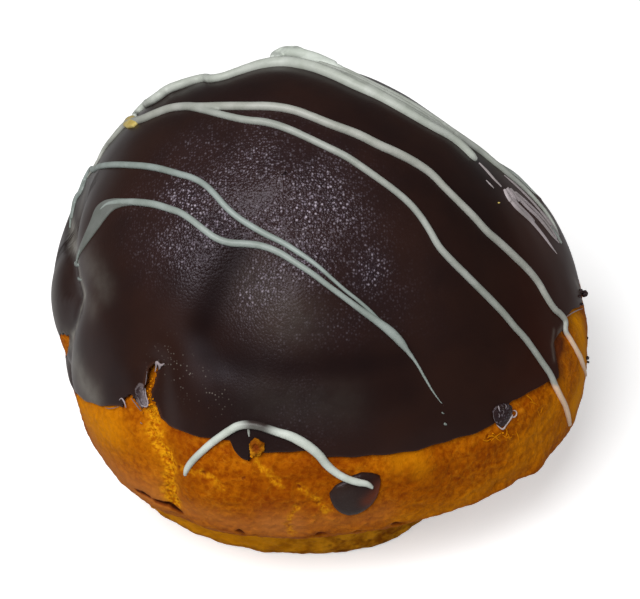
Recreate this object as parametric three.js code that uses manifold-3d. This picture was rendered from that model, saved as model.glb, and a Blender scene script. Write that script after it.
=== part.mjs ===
// A cream puff: a baked choux bun with a flat foot, its upper half dipped in dark
// chocolate, and thick lines of white chocolate piped to and fro over it.
// Millimetres, +Z up. The origin is the middle of the flat underside.

import * as THREE from 'three';
import { mergeVertices } from 'three/addons/utils/BufferGeometryUtils.js';
import Module from 'manifold-3d';

const wasm = await Module();
wasm.setup();

// ---------------------------------------------------------------- driving dimensions

const HEIGHT = 58.4; // from the flat underside to the crown, before the lumps
const BELLY_RADIUS = 37.3; // the widest ring, before the lumps swell it
const BELLY_HEIGHT = 22; // how high that ring lies
const FOOT_RADIUS = 30.7; // the round patch that baked against the tray
const FOOT_FILLET = 1.6; // rounding of the foot's lower edge
const LIP_RADIUS = 32.3; // the crease where the belly folds back in over the foot
const LIP_HEIGHT = 8.8;
const DOME_POWER = 1.54; // under 2, so the dome is a little leaner than a ball

const COAT_THICKNESS = 1.0; // the set chocolate
const GAP = 0.3; // clearance between touching pieces
const BED_DEPTH = COAT_THICKNESS + GAP; // the crust under the coat, below its surface
const STEP_DOWN = 4; // the crust starts to sink this far below the coat's edge
const STEP_END = 0.8; // and is all the way down this far below it
const RIM_TUCKS = [0.75, 0.3]; // how deep the coat's rounded rim lies, in thicknesses

const LINE_WIDTH = 1.4; // a piped line of white chocolate
const LINE_LIFT = 0.2; // its middle lies this far above the ground
const CURL_LIFT = 0.9; // and this far where a line is heaped on others
const LINE_SIDES = 5;
const LINE_STEP = 3.8; // length of one straight stretch of a line
const RIM_CLEARANCE = 1.1; // a line stops this far short of the coat's rim
const DROP_OVERHANG = 0.3; // on the drop it ends this many of its half widths inside
const DROP_BREAK = 1.7; // and on the crust this many outside

const DROP_LENGTH = 7.6; // the fallen drop of chocolate on the crust
const DROP_WIDTH = 5.8;
const DROP_RISE = 1.0; // its crown, above its rim
const DROP_RIM = 0.2; // its rim, above the crust's clearance
const DROP_TILT = 25; // degrees, its long axis against level
const DROP_PLACE = [7.7, -38.1, 21.3];

const COLUMNS = 90; // facets round the bun
const FOOT_RINGS = 3;
const FLARE_SHARE = 0.6; // one ring part of the way up the foot's flared side
const UNDERSIDE_RINGS = 5;
const BAND_RINGS = 4;
const LINING_RINGS = 8;
const COAT_RINGS = 12;
const RIM_SHARE = 0.02; // how much of the way to the crown the coat's rounded rim takes
const DROP_COLUMNS = 20;
const DROP_RINGS = 4;
const DROP_FLAT = [0.5, 0.92]; // rings of the drop's underside, as shares of its size
const FOLD_POINTS = 12; // along each fold's line
const AIM_STEPS = 30; // halvings when a point of the skin is looked for
const FADE_HEIGHT = 6; // above the lip the lumps and folds grow to full over this height

// The point inside the bun that every swelling pushes away from.
const HEART = new THREE.Vector3(0, 0, 20);

// Where the baking dough swelled or stayed back: the azimuth in degrees from +X, the
// height, how far the swelling spreads, and how much it rises.
const LUMPS = [
  { azimuth: 60, height: 36, spread: 15, rise: -6.2 },
  { azimuth: 120, height: 42, spread: 13, rise: 0.6 },
  { azimuth: 190, height: 18, spread: 10, rise: -2.1 },
  { azimuth: 215, height: 12, spread: 10, rise: -1.4 },
  { azimuth: -15, height: 15, spread: 10, rise: 4.0 },
  { azimuth: -40, height: 10, spread: 11, rise: 4.0 },
  { azimuth: 20, height: 25, spread: 11, rise: 3.8 },
  { azimuth: -90, height: 12, spread: 12, rise: 1.4 },
  { azimuth: 240, height: 12, spread: 12, rise: 2.7 },
  { azimuth: -60, height: 12, spread: 12, rise: 1.3 },
  { azimuth: -88, height: 45, spread: 5, rise: 0.7 },
  { azimuth: -98, height: 55, spread: 2.2, rise: 0.5 },
];

// Folds in the skin, each a valley along a line of [azimuth, height] points.
const FOLDS = [
  { depth: 1.8, spread: 2.8, route: [[-157, 14], [-156, 24], [-159, 33], [-175, 39]] },
  { depth: 0.8, spread: 3.4, route: [[-104, 50], [-107, 45], [-109, 39]] },
  { depth: 0.9, spread: 1.6, route: [[-123, 35], [-118, 27], [-115, 19], [-114, 14]] },
];

// The lower edge of the chocolate: [azimuth, height] all the way round.
const COAT_EDGE = [
  [-172, 22], [-160, 22.5], [-148, 22.8], [-141, 24.1], [-129, 27.8], [-119, 29],
  [-96, 28.2], [-82, 27.2], [-68, 26.3], [-55, 25.6], [-42, 26.1], [-28.5, 23.7],
  [-24, 28], [-16, 27.8], [-6, 24], [12, 25.5], [30, 23], [50, 26], [70, 24],
  [92, 27], [112, 24.5], [132, 26.5], [150, 23], [168, 21.5],
];

// Narrow departures from that edge: the split on the left and the short run of chocolate.
const EDGE_MARKS = [
  { azimuth: -123, spread: 2, rise: 6 },
  { azimuth: -100, spread: 2, rise: -2.2 },
];

// The piped lines, each by a few points near the surface that it is laid on.
const PIPED_LINES = [
  { // the thick line over the top
    width: 1.6,
    route: [[-35, 6, 31], [-29, 9, 40], [-23, 12, 46], [-16, 9.5, 52], [-9, 8, 56],
      [-3, 11, 55.5], [3, 8, 57], [8, 4, 56], [14, 2, 54], [25, 0, 46]],
  },
  { // behind it, down the right side
    route: [[0, 13.5, 54], [9, 7.5, 55], [13, 7, 53], [21, 6.5, 47], [29, 5, 41],
      [36, 4, 33], [38, 2.5, 29]],
  },
  { // the long line that forks from the stem
    route: [[-34, 8, 32], [-29, 9.5, 40], [-26, 11, 43], [-22, 8, 49], [-15, 3, 54],
      [-8, -1, 57], [-1, -3.5, 58], [6, -5.5, 57], [12, -7, 55], [18, -8.5, 51],
      [23, -10.5, 46], [29, -10.5, 40], [34.5, -11.5, 32], [37, -13, 27], [39.5, -13, 22],
      [41, -13, 18]],
  },
  { // its lower branch
    route: [[-18, 5, 52], [-13, 0, 56], [-6, -5, 57], [1, -8.5, 57], [8, -11, 55],
      [12, -13, 53], [16, -15.5, 49], [20, -18, 44], [26, -19, 38], [31.5, -20, 30],
      [36, -20.5, 23], [38, -20, 16.5]],
  },
  { // upper line of the front pair
    route: [[-33, -3, 34], [-31, 0, 39], [-28, 3.5, 43], [-24, -2, 48], [-19, -7, 51],
      [-13, -12, 53], [-10, -16, 52], [-5, -19, 51], [1, -22.5, 49], [6, -25, 46]],
  },
  { // lower line of the front pair, with the long tail
    route: [[-30, -11, 37], [-28, -9, 41], [-25, -8, 45.5], [-19, -12, 49.5],
      [-12, -18, 50], [-8, -20.5, 50], [-3, -22, 50], [3, -24.5, 47], [7, -26.5, 44.5],
      [13, -28, 40], [16, -29.5, 35], [19, -31, 30]],
  },
  { // the low arc across the coat's rim, which ends on the fallen drop
    route: [[-14.5, -36, 23], [-13, -36, 26.5], [-10, -35.5, 29], [-7, -35.5, 31],
      [-4, -36, 31], [0, -36.5, 30], [4, -37.5, 27], [7, -38, 24.3], [9, -38, 23.3],
      [10.5, -38, 21.8]],
  },
  { // a smeared line on the right shoulder
    width: 1.2,
    route: [[29, -1, 42], [31, -1.5, 39.5], [34, -2, 36], [36, -3, 33]],
  },
  { // a curl heaped on the crown where the nozzle turned
    lift: CURL_LIFT,
    route: [[-6, 12, 55], [-1, 14.5, 54.5], [4, 12.5, 55], [1, 11, 56], [-3, 12.5, 55.5]],
  },
  { // the far side, upper
    route: [[-31, 15, 31], [-24, 18, 39], [-12, 22, 46], [0, 22, 49], [12, 19, 47],
      [22, 15, 41], [30, 13, 32]],
  },
  { // the far side, lower
    route: [[-21, 29, 30], [-10, 32, 36], [2, 32, 37], [12, 28, 34], [21, 24, 29]],
  },
];

// ------------------------------------------------------------------ the form of the bun

const radians = THREE.MathUtils.degToRad;
const smoothstep = THREE.MathUtils.smoothstep;

/** A point on the plain wall of the bun: climb is -90 at the lip, 0 at the belly and 90
 * at the crown. */
function wallPoint(azimuth, climb) {
  const sine = Math.sin(radians(climb));
  let radius = BELLY_RADIUS * Math.sqrt(Math.max(0, 1 - Math.abs(sine) ** DOME_POWER));
  let height = BELLY_HEIGHT + (HEIGHT - BELLY_HEIGHT) * sine;
  if (climb < 0) {
    radius = LIP_RADIUS + (BELLY_RADIUS - LIP_RADIUS) * Math.cos(radians(climb));
    height = BELLY_HEIGHT + (BELLY_HEIGHT - LIP_HEIGHT) * sine;
  }
  return ringPoint(azimuth, radius, height);
}

function ringPoint(azimuth, radius, height) {
  const turn = radians(azimuth);
  return new THREE.Vector3(radius * Math.cos(turn), radius * Math.sin(turn), height);
}

/** The climb at which the plain wall reaches a height. */
function climbTo(height) {
  const span = height > BELLY_HEIGHT ? HEIGHT - BELLY_HEIGHT : BELLY_HEIGHT - LIP_HEIGHT;
  const sine = THREE.MathUtils.clamp((height - BELLY_HEIGHT) / span, -1, 1);
  return THREE.MathUtils.radToDeg(Math.asin(sine));
}

const lumpCentres = LUMPS.map((lump) => wallPoint(lump.azimuth, climbTo(lump.height)));
const foldLines = FOLDS.map((fold) => {
  const bends = fold.route.map(([azimuth, height]) => wallPoint(azimuth, climbTo(height)));
  return new THREE.CatmullRomCurve3(bends).getSpacedPoints(FOLD_POINTS);
});

/** How far the skin stands out from the plain wall at one of its points. */
function swelling(point) {
  let rise = 0;
  LUMPS.forEach((lump, i) => {
    const away = point.distanceTo(lumpCentres[i]) / lump.spread;
    rise += lump.rise * Math.exp(-0.5 * away * away);
  });
  FOLDS.forEach((fold, i) => {
    const nearest = Math.min(...foldLines[i].map((bend) => bend.distanceTo(point)));
    const away = nearest / fold.spread;
    rise -= fold.depth * Math.exp(-0.5 * away * away);
  });
  return rise * THREE.MathUtils.clamp((point.z - LIP_HEIGHT) / FADE_HEIGHT, 0, 1);
}

/** Moves a point straight away from the heart of the bun. */
function lifted(point, distance) {
  const outward = point.clone().sub(HEART).normalize();
  return point.clone().addScaledVector(outward, distance);
}

function skinPoint(azimuth, climb) {
  const plain = wallPoint(azimuth, climb);
  return lifted(plain, swelling(plain));
}

/** The point of the skin that lies in the same direction from the heart as a given one. */
function onSkin(x, y, z) {
  const azimuth = THREE.MathUtils.radToDeg(Math.atan2(y, x));
  const aim = Math.atan2(z - HEART.z, Math.hypot(x, y));
  let low = -90;
  let high = 90;
  for (let i = 0; i < AIM_STEPS; i += 1) {
    const middle = (low + high) / 2;
    const wall = wallPoint(0, middle);
    if (Math.atan2(wall.z - HEART.z, wall.x) < aim) low = middle;
    else high = middle;
  }
  return skinPoint(azimuth, low);
}

/** Height of the coat's lower edge at an azimuth. */
function coatEdge(azimuth) {
  const turned = THREE.MathUtils.euclideanModulo(azimuth - COAT_EDGE[0][0], 360);
  const stations = COAT_EDGE.map(([at, height]) => [at - COAT_EDGE[0][0], height]);
  stations.push([360, COAT_EDGE[0][1]]);
  const next = stations.findIndex(([at]) => at > turned);
  const [fromAt, fromHeight] = stations[next - 1];
  const [toAt, toHeight] = stations[next];
  const part = smoothstep(turned, fromAt, toAt);
  let height = THREE.MathUtils.lerp(fromHeight, toHeight, part);
  EDGE_MARKS.forEach((mark) => {
    const away = (azimuth - mark.azimuth) / mark.spread;
    height += mark.rise * Math.exp(-0.5 * away * away);
  });
  return height;
}

/** How deep the crust lies under the skin: nothing below the coat, a bed for it above. */
function bedDepth(azimuth, height) {
  const edge = coatEdge(azimuth);
  return BED_DEPTH * smoothstep(height, edge - STEP_DOWN, edge - STEP_END);
}

function azimuthOf(point) {
  return THREE.MathUtils.radToDeg(Math.atan2(point.y, point.x));
}

// ------------------------------------------------------------------------ closed meshes

/** A closed skin of rings between two poles, wound so that it faces outwards. */
function ballOfRings(firstPole, rings, lastPole) {
  const columns = rings[0].length;
  const points = [firstPole, ...rings.flat(), lastPole];
  const last = points.length - 1;
  const faces = [];
  for (let column = 0; column < columns; column += 1) {
    const beside = (column + 1) % columns;
    faces.push(0, 1 + beside, 1 + column);
    for (let ring = 0; ring + 1 < rings.length; ring += 1) {
      const here = 1 + ring * columns;
      const next = here + columns;
      const corners = [here + column, here + beside, next + beside, next + column];
      const [a, b, c, d] = corners.map((corner) => points[corner]);
      const turn = a.distanceTo(c) <= b.distanceTo(d) ? 0 : 1; // split by the short way
      const [p, q, r, s] = [...corners.slice(turn), ...corners.slice(0, turn)];
      faces.push(p, q, r, p, r, s);
    }
    faces.push(last - columns + column, last - columns + beside, last);
  }
  const geometry = new THREE.BufferGeometry().setFromPoints(points);
  geometry.setIndex(faces);
  return geometry;
}

function everyColumn(makePoint) {
  return Array.from({ length: COLUMNS }, (_, i) => makePoint(-180 + (360 * i) / COLUMNS));
}

/** A ring above the coat's edge: share is 0 at that edge and 1 at the crown, and depth is
 * how far the ring lies under the skin. */
function upperRing(share, depth) {
  return everyColumn((azimuth) => {
    const start = climbTo(coatEdge(azimuth));
    return lifted(skinPoint(azimuth, start + (90 - start) * share), -depth);
  });
}

/** A ring between the belly, at share 0, and the coat's edge, at share 1. */
function bandRing(share) {
  return everyColumn((azimuth) => {
    const skin = skinPoint(azimuth, climbTo(coatEdge(azimuth)) * share);
    return lifted(skin, -bedDepth(azimuth, skin.z));
  });
}

/** The shares of the rings that line the coat, from its edge up to near the crown. */
function liningShares() {
  const low = RIM_SHARE;
  return Array.from({ length: LINING_RINGS }, (_, i) => low + ((1 - low) * i) / LINING_RINGS);
}

function bunGeometry() {
  const rings = [];
  for (let i = 0; i <= FOOT_RINGS; i += 1) {
    const turn = radians((90 * i) / FOOT_RINGS);
    const radius = FOOT_RADIUS - FOOT_FILLET + FOOT_FILLET * Math.sin(turn);
    const height = FOOT_FILLET * (1 - Math.cos(turn));
    rings.push(everyColumn((azimuth) => ringPoint(azimuth, radius, height)));
  }
  const flare = FOOT_RADIUS + (LIP_RADIUS - FOOT_RADIUS) * FLARE_SHARE;
  rings.push(everyColumn((azimuth) => ringPoint(azimuth, flare, LIP_HEIGHT * FLARE_SHARE)));
  for (let i = 0; i < UNDERSIDE_RINGS; i += 1) {
    const climb = -90 + (90 * i) / UNDERSIDE_RINGS;
    rings.push(everyColumn((azimuth) => skinPoint(azimuth, climb)));
  }
  for (let i = 0; i < BAND_RINGS; i += 1) rings.push(bandRing(i / BAND_RINGS));
  rings.push(upperRing(-RIM_SHARE, BED_DEPTH));
  liningShares().forEach((share) => rings.push(upperRing(share, BED_DEPTH)));
  return ballOfRings(new THREE.Vector3(), rings, lifted(skinPoint(0, 90), -BED_DEPTH));
}

function coatGeometry() {
  const rings = liningShares().map((share) => upperRing(share, COAT_THICKNESS)).reverse();
  RIM_TUCKS.forEach((tuck) => rings.push(upperRing(0, COAT_THICKNESS * tuck)));
  for (let i = 0; i < COAT_RINGS; i += 1) {
    rings.push(upperRing(RIM_SHARE + ((1 - RIM_SHARE) * i) / COAT_RINGS, 0));
  }
  const crown = skinPoint(0, 90);
  return ballOfRings(lifted(crown, -COAT_THICKNESS), rings, crown);
}

/** Directions along the crust at the drop: its long way, its short way. */
function dropAxes() {
  const out = new THREE.Vector3(...DROP_PLACE).sub(HEART).normalize();
  const level = new THREE.Vector3(0, 0, 1).cross(out).normalize();
  const long = level.applyAxisAngle(out, radians(DROP_TILT));
  return [long, out.clone().cross(long)];
}

/** How far a point lies from the drop's middle, as a share of the drop's half size. */
function dropShare(point) {
  const [long, short] = dropAxes();
  const offset = point.clone().sub(onSkin(...DROP_PLACE));
  return Math.hypot(
    offset.dot(long) / (DROP_LENGTH / 2),
    offset.dot(short) / (DROP_WIDTH / 2),
  );
}

function dropGeometry() {
  const [long, short] = dropAxes();
  const middle = new THREE.Vector3(...DROP_PLACE);
  const layer = (share, rise) => Array.from({ length: DROP_COLUMNS }, (_, i) => {
    const turn = (2 * Math.PI * i) / DROP_COLUMNS;
    const spot = middle.clone()
      .addScaledVector(long, (share * DROP_LENGTH * Math.cos(turn)) / 2)
      .addScaledVector(short, (share * DROP_WIDTH * Math.sin(turn)) / 2);
    const skin = onSkin(spot.x, spot.y, spot.z);
    const bed = bedDepth(azimuthOf(skin), skin.z);
    return lifted(skin, GAP - bed + rise);
  });
  const rings = DROP_FLAT.map((share) => layer(share, 0));
  for (let i = 0; i < DROP_RINGS; i += 1) {
    const share = 1 - i / DROP_RINGS;
    rings.push(layer(share, DROP_RIM + DROP_RISE * Math.sqrt(1 - share * share)));
  }
  const pole = (rise) => {
    const skin = onSkin(...DROP_PLACE);
    return lifted(skin, GAP - bedDepth(azimuthOf(skin), skin.z) + rise);
  };
  return ballOfRings(pole(0), rings, pole(DROP_RIM + DROP_RISE));
}

// --------------------------------------------------------------------- the piped lines

/** What a line lies on at a point of the skin, or nothing where it has to stop short. */
function groundAt(skin, reach) {
  const share = dropShare(skin);
  const margin = reach / (DROP_WIDTH / 2);
  if (share < 1 - margin * DROP_OVERHANG) return 'drop';
  if (share < 1 + margin * DROP_BREAK) return 'none';
  const above = skin.z - coatEdge(azimuthOf(skin));
  if (above > RIM_CLEARANCE) return 'coat';
  return above < -RIM_CLEARANCE ? 'bun' : 'none';
}

/** How far the middle of a line lies from the skin on each ground. */
function lineLift(ground, skin, lift) {
  const bed = bedDepth(azimuthOf(skin), skin.z);
  if (ground === 'coat') return lift;
  if (ground === 'bun') return lift - bed;
  const dome = 1 - Math.min(1, dropShare(skin)) ** 2;
  return lift + GAP + DROP_RIM + DROP_RISE * Math.sqrt(dome) - bed;
}

/** Breaks a piped line into the stretches that lie on each ground. */
function lineStretches({ route, width = LINE_WIDTH, lift = LINE_LIFT }) {
  const sweep = new THREE.CatmullRomCurve3(route.map((bend) => new THREE.Vector3(...bend)));
  const steps = Math.ceil(sweep.getLength());
  const stretches = [];
  let open = null;
  for (let i = 0; i <= steps; i += 1) {
    const at = sweep.getPointAt(i / steps);
    const skin = onSkin(at.x, at.y, at.z);
    const ground = groundAt(skin, width / 2);
    if (!open || open.ground !== ground) {
      open = { ground, width, points: [] };
      stretches.push(open);
    }
    if (ground !== 'none') open.points.push(lifted(skin, lineLift(ground, skin, lift)));
  }
  return stretches.filter((stretch) => stretch.points.length > 2);
}

function lineGeometry({ points, width }) {
  const path = new THREE.CatmullRomCurve3(points);
  const section = new THREE.Shape();
  for (let i = 0; i < LINE_SIDES; i += 1) {
    const turn = (2 * Math.PI * i) / LINE_SIDES;
    const corner = [(width / 2) * Math.cos(turn), (width / 2) * Math.sin(turn)];
    if (i === 0) section.moveTo(...corner);
    else section.lineTo(...corner);
  }
  section.closePath();
  const steps = Math.max(2, Math.round(path.getLength() / LINE_STEP));
  return new THREE.ExtrudeGeometry(section, { steps, bevelEnabled: false, extrudePath: path });
}

// ------------------------------------------------------------------------------- solids

function toSolid(geometry) {
  const bare = geometry.clone();
  bare.deleteAttribute('normal');
  bare.deleteAttribute('uv');
  bare.clearGroups();
  const merged = mergeVertices(bare, 1e-4);
  const mesh = new wasm.Mesh({
    numProp: 3,
    vertProperties: Float32Array.from(merged.attributes.position.array),
    triVerts: Uint32Array.from(merged.index.array),
  });
  return new wasm.Manifold(mesh);
}

function fromSolid(solid) {
  const { vertProperties, triVerts } = solid.getMesh();
  const geometry = new THREE.BufferGeometry();
  geometry.setAttribute('position', new THREE.BufferAttribute(vertProperties, 3));
  geometry.setIndex(new THREE.BufferAttribute(triVerts, 1));
  return geometry;
}

/** The outermost skin of a solid, so that no pocket is left where two lines close up. */
function outerShell(solid) {
  return solid.decompose().reduce((a, b) => (a.volume() > b.volume() ? a : b));
}

const allStretches = PIPED_LINES.flatMap(lineStretches);

/** A piece with the stretches of piped line that lie on it melted into it. */
function withLines(geometry, ground) {
  const lines = allStretches.filter((stretch) => stretch.ground === ground);
  const solids = lines.map((stretch) => toSolid(lineGeometry(stretch)));
  const joined = solids.reduce((whole, line) => whole.add(line), toSolid(geometry));
  return fromSolid(outerShell(joined));
}

// ----------------------------------------------------------------------------- assembly

const bakedCrust = new THREE.MeshStandardMaterial({
  color: 0xb86a14,
  roughness: 0.65,
  metalness: 0,
});
const darkChocolate = new THREE.MeshStandardMaterial({
  color: 0x2b1d1a,
  roughness: 0.35,
  metalness: 0,
});

function part(name, geometry, material) {
  const mesh = new THREE.Mesh(geometry, material);
  mesh.name = name;
  return mesh;
}

const creamPuff = new THREE.Group();
creamPuff.add(part('choux_bun', withLines(bunGeometry(), 'bun'), bakedCrust));
creamPuff.add(part('chocolate_coat', withLines(coatGeometry(), 'coat'), darkChocolate));
creamPuff.add(part('chocolate_drop', withLines(dropGeometry(), 'drop'), darkChocolate));

export default creamPuff;
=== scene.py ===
# %% The frame and the tools
import math

import bpy
import numpy as np
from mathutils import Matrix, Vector, noise
from mathutils.kdtree import KDTree


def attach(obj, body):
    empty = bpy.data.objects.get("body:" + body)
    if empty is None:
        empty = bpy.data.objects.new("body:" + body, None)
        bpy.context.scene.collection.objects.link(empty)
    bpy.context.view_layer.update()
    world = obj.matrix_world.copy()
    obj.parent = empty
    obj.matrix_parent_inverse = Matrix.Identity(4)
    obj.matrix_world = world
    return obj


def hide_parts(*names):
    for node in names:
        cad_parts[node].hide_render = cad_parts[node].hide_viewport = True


MM = 0.001  # the scene is in metres, and every size below is in millimetres
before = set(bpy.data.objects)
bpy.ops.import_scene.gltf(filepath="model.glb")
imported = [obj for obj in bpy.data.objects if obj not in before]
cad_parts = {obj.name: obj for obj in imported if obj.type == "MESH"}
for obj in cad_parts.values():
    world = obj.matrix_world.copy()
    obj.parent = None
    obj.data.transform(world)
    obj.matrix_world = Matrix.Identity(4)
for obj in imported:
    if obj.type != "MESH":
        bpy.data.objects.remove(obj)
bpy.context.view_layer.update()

# %% [markdown]
# # A chocolate-dipped cream puff
#
# Choux dough is piped on a tray and puffs up in the oven, so a cream puff is never round. It has a
# flat foot that baked against the tray, a lip where the belly folds back over the foot, and lumps
# and creases where the skin set before the dough had finished growing. This one was then turned
# over and dipped in melted dark chocolate, and white chocolate was piped to and fro over it.
#
# The lesson makes it in that order: the baked skin, the chocolate coat with its uneven rim, the
# piped lines, and last the crumbs, blisters and torn edges that make it look handled.
#
# A few helpers come first. An operator acts on all that is selected, so `only` clears the selection
# before it picks one piece. Shapes with many small dents are easier to make by moving points in
# code, the way a sculpting brush does, so two helpers read and write the points in millimetres.
# What a brush leaves behind, such as how deep a crease is, stays on the points as a named number.

# %% Helpers for selecting, applying and moving points


def only(piece):
    """Deselects everything, then selects one piece and makes it active."""
    if bpy.context.object and bpy.context.object.mode != "OBJECT":
        bpy.ops.object.mode_set(mode="OBJECT")
    bpy.ops.object.select_all(action="DESELECT")
    piece.select_set(True)
    bpy.context.view_layer.objects.active = piece


def added(name, operator, **settings):
    """Clears the selection, adds one object with an operator and names it."""
    bpy.ops.object.select_all(action="DESELECT")
    operator(**settings)
    bpy.context.object.name = name
    return bpy.context.object


def smooth(piece):
    only(piece)
    bpy.ops.object.shade_smooth()


def apply(piece, kind, **settings):
    """Adds a modifier with its settings and applies it."""
    only(piece)
    modifier = piece.modifiers.new(kind.title(), kind)
    for name, value in settings.items():
        setattr(modifier, name, value)
    bpy.ops.object.modifier_apply(modifier=modifier.name)


def points_of(piece):
    """The piece's points in millimetres, one row each."""
    flat = np.empty(len(piece.data.vertices) * 3)
    piece.data.vertices.foreach_get("co", flat)
    return flat.reshape(-1, 3) / MM


def put_points(piece, points):
    piece.data.vertices.foreach_set("co", (np.asarray(points) * MM).ravel())
    piece.data.update()


def normals_of(piece):
    flat = np.empty(len(piece.data.vertices) * 3, np.float32)
    piece.data.vertex_normals.foreach_get("vector", flat)
    return flat.reshape(-1, 3).astype(float)


def middles_of(piece):
    """The middle of every face, in millimetres."""
    flat = np.empty(len(piece.data.polygons) * 3)
    piece.data.polygons.foreach_get("center", flat)
    return flat.reshape(-1, 3) / MM


def pick_faces(piece, wanted):
    """Goes into edit mode with exactly the wanted faces selected."""
    only(piece)
    mesh = piece.data
    mesh.vertices.foreach_set("select", np.zeros(len(mesh.vertices), bool))
    mesh.edges.foreach_set("select", np.zeros(len(mesh.edges), bool))
    mesh.polygons.foreach_set("select", np.asarray(wanted, bool))
    bpy.ops.object.mode_set(mode="EDIT")
    bpy.ops.mesh.select_mode(type="FACE")


def split_in_four(piece, wanted):
    """Splits each wanted face in four."""
    pick_faces(piece, wanted)
    bpy.ops.mesh.subdivide(number_cuts=1)
    bpy.ops.object.mode_set(mode="OBJECT")


def keep_value(piece, name, values):
    """Writes one number per point on the piece, for its material to read."""
    layer = piece.data.attributes.new(name, "FLOAT", "POINT")
    layer.data.foreach_set("value", np.asarray(values, np.float32))


def kept_value(piece, name):
    """Reads back the numbers that `keep_value` wrote."""
    values = np.empty(len(piece.data.vertices), np.float32)
    piece.data.attributes[name].data.foreach_get("value", values)
    return values


def count(piece):
    triangles = sum(len(face.vertices) - 2 for face in piece.data.polygons)
    print(f"{piece.name}: {len(piece.data.vertices)} points, {triangles} triangles")


# %% [markdown]
# ## The camera
#
# The camera stands in front of the bun and looks down on it, 42 degrees above level, as one looks
# at a plate on a table. It comes first because later cells place small marks by where they are seen:
# `spot` follows the camera's line of sight through a point of the 640 by 599 picture until it meets
# the bun, so that each mark lies on the skin whatever the skin's shape is.

# %% The camera
PICTURE = (640, 599)
LENS = 108.3
SENSOR = 36
AIM = Vector((3.0, 0, 21.5)) * MM
ELEVATION = math.radians(42)
DISTANCE = 280 * MM
AWAY = Vector((0, -math.cos(ELEVATION), math.sin(ELEVATION)))

camera = added("camera", bpy.ops.object.camera_add, location=AIM + AWAY * DISTANCE)
camera.rotation_euler = (math.pi / 2 - ELEVATION, 0, 0)
camera.data.lens = LENS
camera.data.sensor_width = SENSOR
camera.data.clip_start = 0.01
bpy.context.scene.camera = camera
bpy.context.view_layer.update()
FOCAL = LENS / SENSOR * PICTURE[0]
print("the camera looks from, mm:", [round(v / MM, 1) for v in camera.location])

# %% [markdown]
# ## The plain form
#
# The frame's solid has a form with a few named sizes: a lip, a belly, a lean dome, and lumps and
# folds that push the skin out or in along lines from a point inside, the heart. The solid is cut
# into facets, which would show in shiny chocolate. So the same sizes are written here once more as
# functions, and the fine skins are laid exactly on that form. A bun could also be sculpted by hand,
# but then the pieces wouldn't nest, and this bun and its coat share one surface.

# %% The plain form of the bun
HEIGHT = 58.4
BELLY_RADIUS = 37.3
BELLY_HEIGHT = 22
FOOT_RADIUS = 30.7
FOOT_FILLET = 1.6
LIP_RADIUS = 32.3
LIP_HEIGHT = 8.8
DOME_POWER = 1.54
FADE_HEIGHT = 6
HEART = np.array([0, 0, 20.0])

# azimuth in degrees from +X, height, spread and rise in millimetres
LUMPS = [
    (60, 36, 15, -6.2), (120, 42, 13, 0.6), (190, 18, 10, -2.1), (215, 12, 10, -1.4),
    (-15, 15, 10, 4.0), (-40, 10, 11, 4.0), (20, 25, 11, 3.8), (-90, 12, 12, 1.4),
    (240, 12, 12, 2.7), (-60, 12, 12, 1.3), (-88, 45, 5, 0.7), (-98, 55, 2.2, 0.5),
    (122, 50, 6.5, -1.6), (171, 36.5, 5, -1.1), (172.5, 31, 3, -0.75),
]
# depth, spread and the azimuths and heights that the fold runs through
FOLDS = [
    (1.8, 2.8, [(-158, 14), (-159, 24), (-158, 33), (-166, 33.8), (-182, 35.2)]),
    (0.8, 3.4, [(-104, 50), (-107, 45), (-109, 39)]),
    (0.9, 1.6, [(-123, 35), (-118, 27), (-115, 19), (-114, 14)]),
]


def climb_to(height):
    """The climb, -90 at the lip and 90 at the crown, at which the wall reaches a height."""
    height = np.asarray(height, float)
    span = np.where(height > BELLY_HEIGHT, HEIGHT - BELLY_HEIGHT, BELLY_HEIGHT - LIP_HEIGHT)
    return np.degrees(np.arcsin(np.clip((height - BELLY_HEIGHT) / span, -1, 1)))


def wall(azimuth, climb):
    """Points of the bun's plain wall, before it swells."""
    climb = np.asarray(climb, float)
    sine = np.sin(np.radians(climb))
    upper = BELLY_RADIUS * np.sqrt(np.maximum(0, 1 - np.abs(sine) ** DOME_POWER))
    under = LIP_RADIUS + (BELLY_RADIUS - LIP_RADIUS) * np.cos(np.radians(climb))
    radius = np.where(climb < 0, under, upper)
    span = np.where(climb < 0, BELLY_HEIGHT - LIP_HEIGHT, HEIGHT - BELLY_HEIGHT)
    turn = np.radians(np.asarray(azimuth, float))
    return np.stack(
        [radius * np.cos(turn), radius * np.sin(turn), BELLY_HEIGHT + span * sine], axis=-1
    )


def nearest(points, route):
    """Distance from each point to a route of straight stretches."""
    best = np.full(len(points), np.inf)
    for start, end in zip(route[:-1], route[1:]):
        along = end - start
        share = np.clip((points - start) @ along / max(along @ along, 1e-9), 0, 1)
        best = np.minimum(best, np.linalg.norm(points - start - share[:, None] * along, axis=1))
    return best


def bell(distance, spread):
    return np.exp(-0.5 * (distance / spread) ** 2)


def swelling(points):
    """How far the baked skin stands out from the plain wall."""
    rise = np.zeros(len(points))
    for azimuth, height, spread, lift in LUMPS:
        centre = wall(azimuth, climb_to(height))
        rise += lift * bell(np.linalg.norm(points - centre, axis=1), spread)
    for depth, spread, bends in FOLDS:
        route = np.array([wall(azimuth, climb_to(height)) for azimuth, height in bends])
        rise -= depth * bell(nearest(points, route), spread)
    return rise * np.clip((points[:, 2] - LIP_HEIGHT) / FADE_HEIGHT, 0, 1)


def outward(points):
    """Directions from the heart to the points."""
    away = points - HEART
    return away / np.linalg.norm(away, axis=1)[:, None]


def skin(azimuth, climb):
    """Points of the baked skin."""
    plain = wall(azimuth, climb)
    return plain + outward(plain) * swelling(plain)[:, None]


corner = skin(np.array([0.0, -90.0]), np.array([0.0, 0.0]))
print("the belly reaches, mm:", round(float(corner[0, 0]), 1), round(float(corner[1, 1]), 1))

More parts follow.
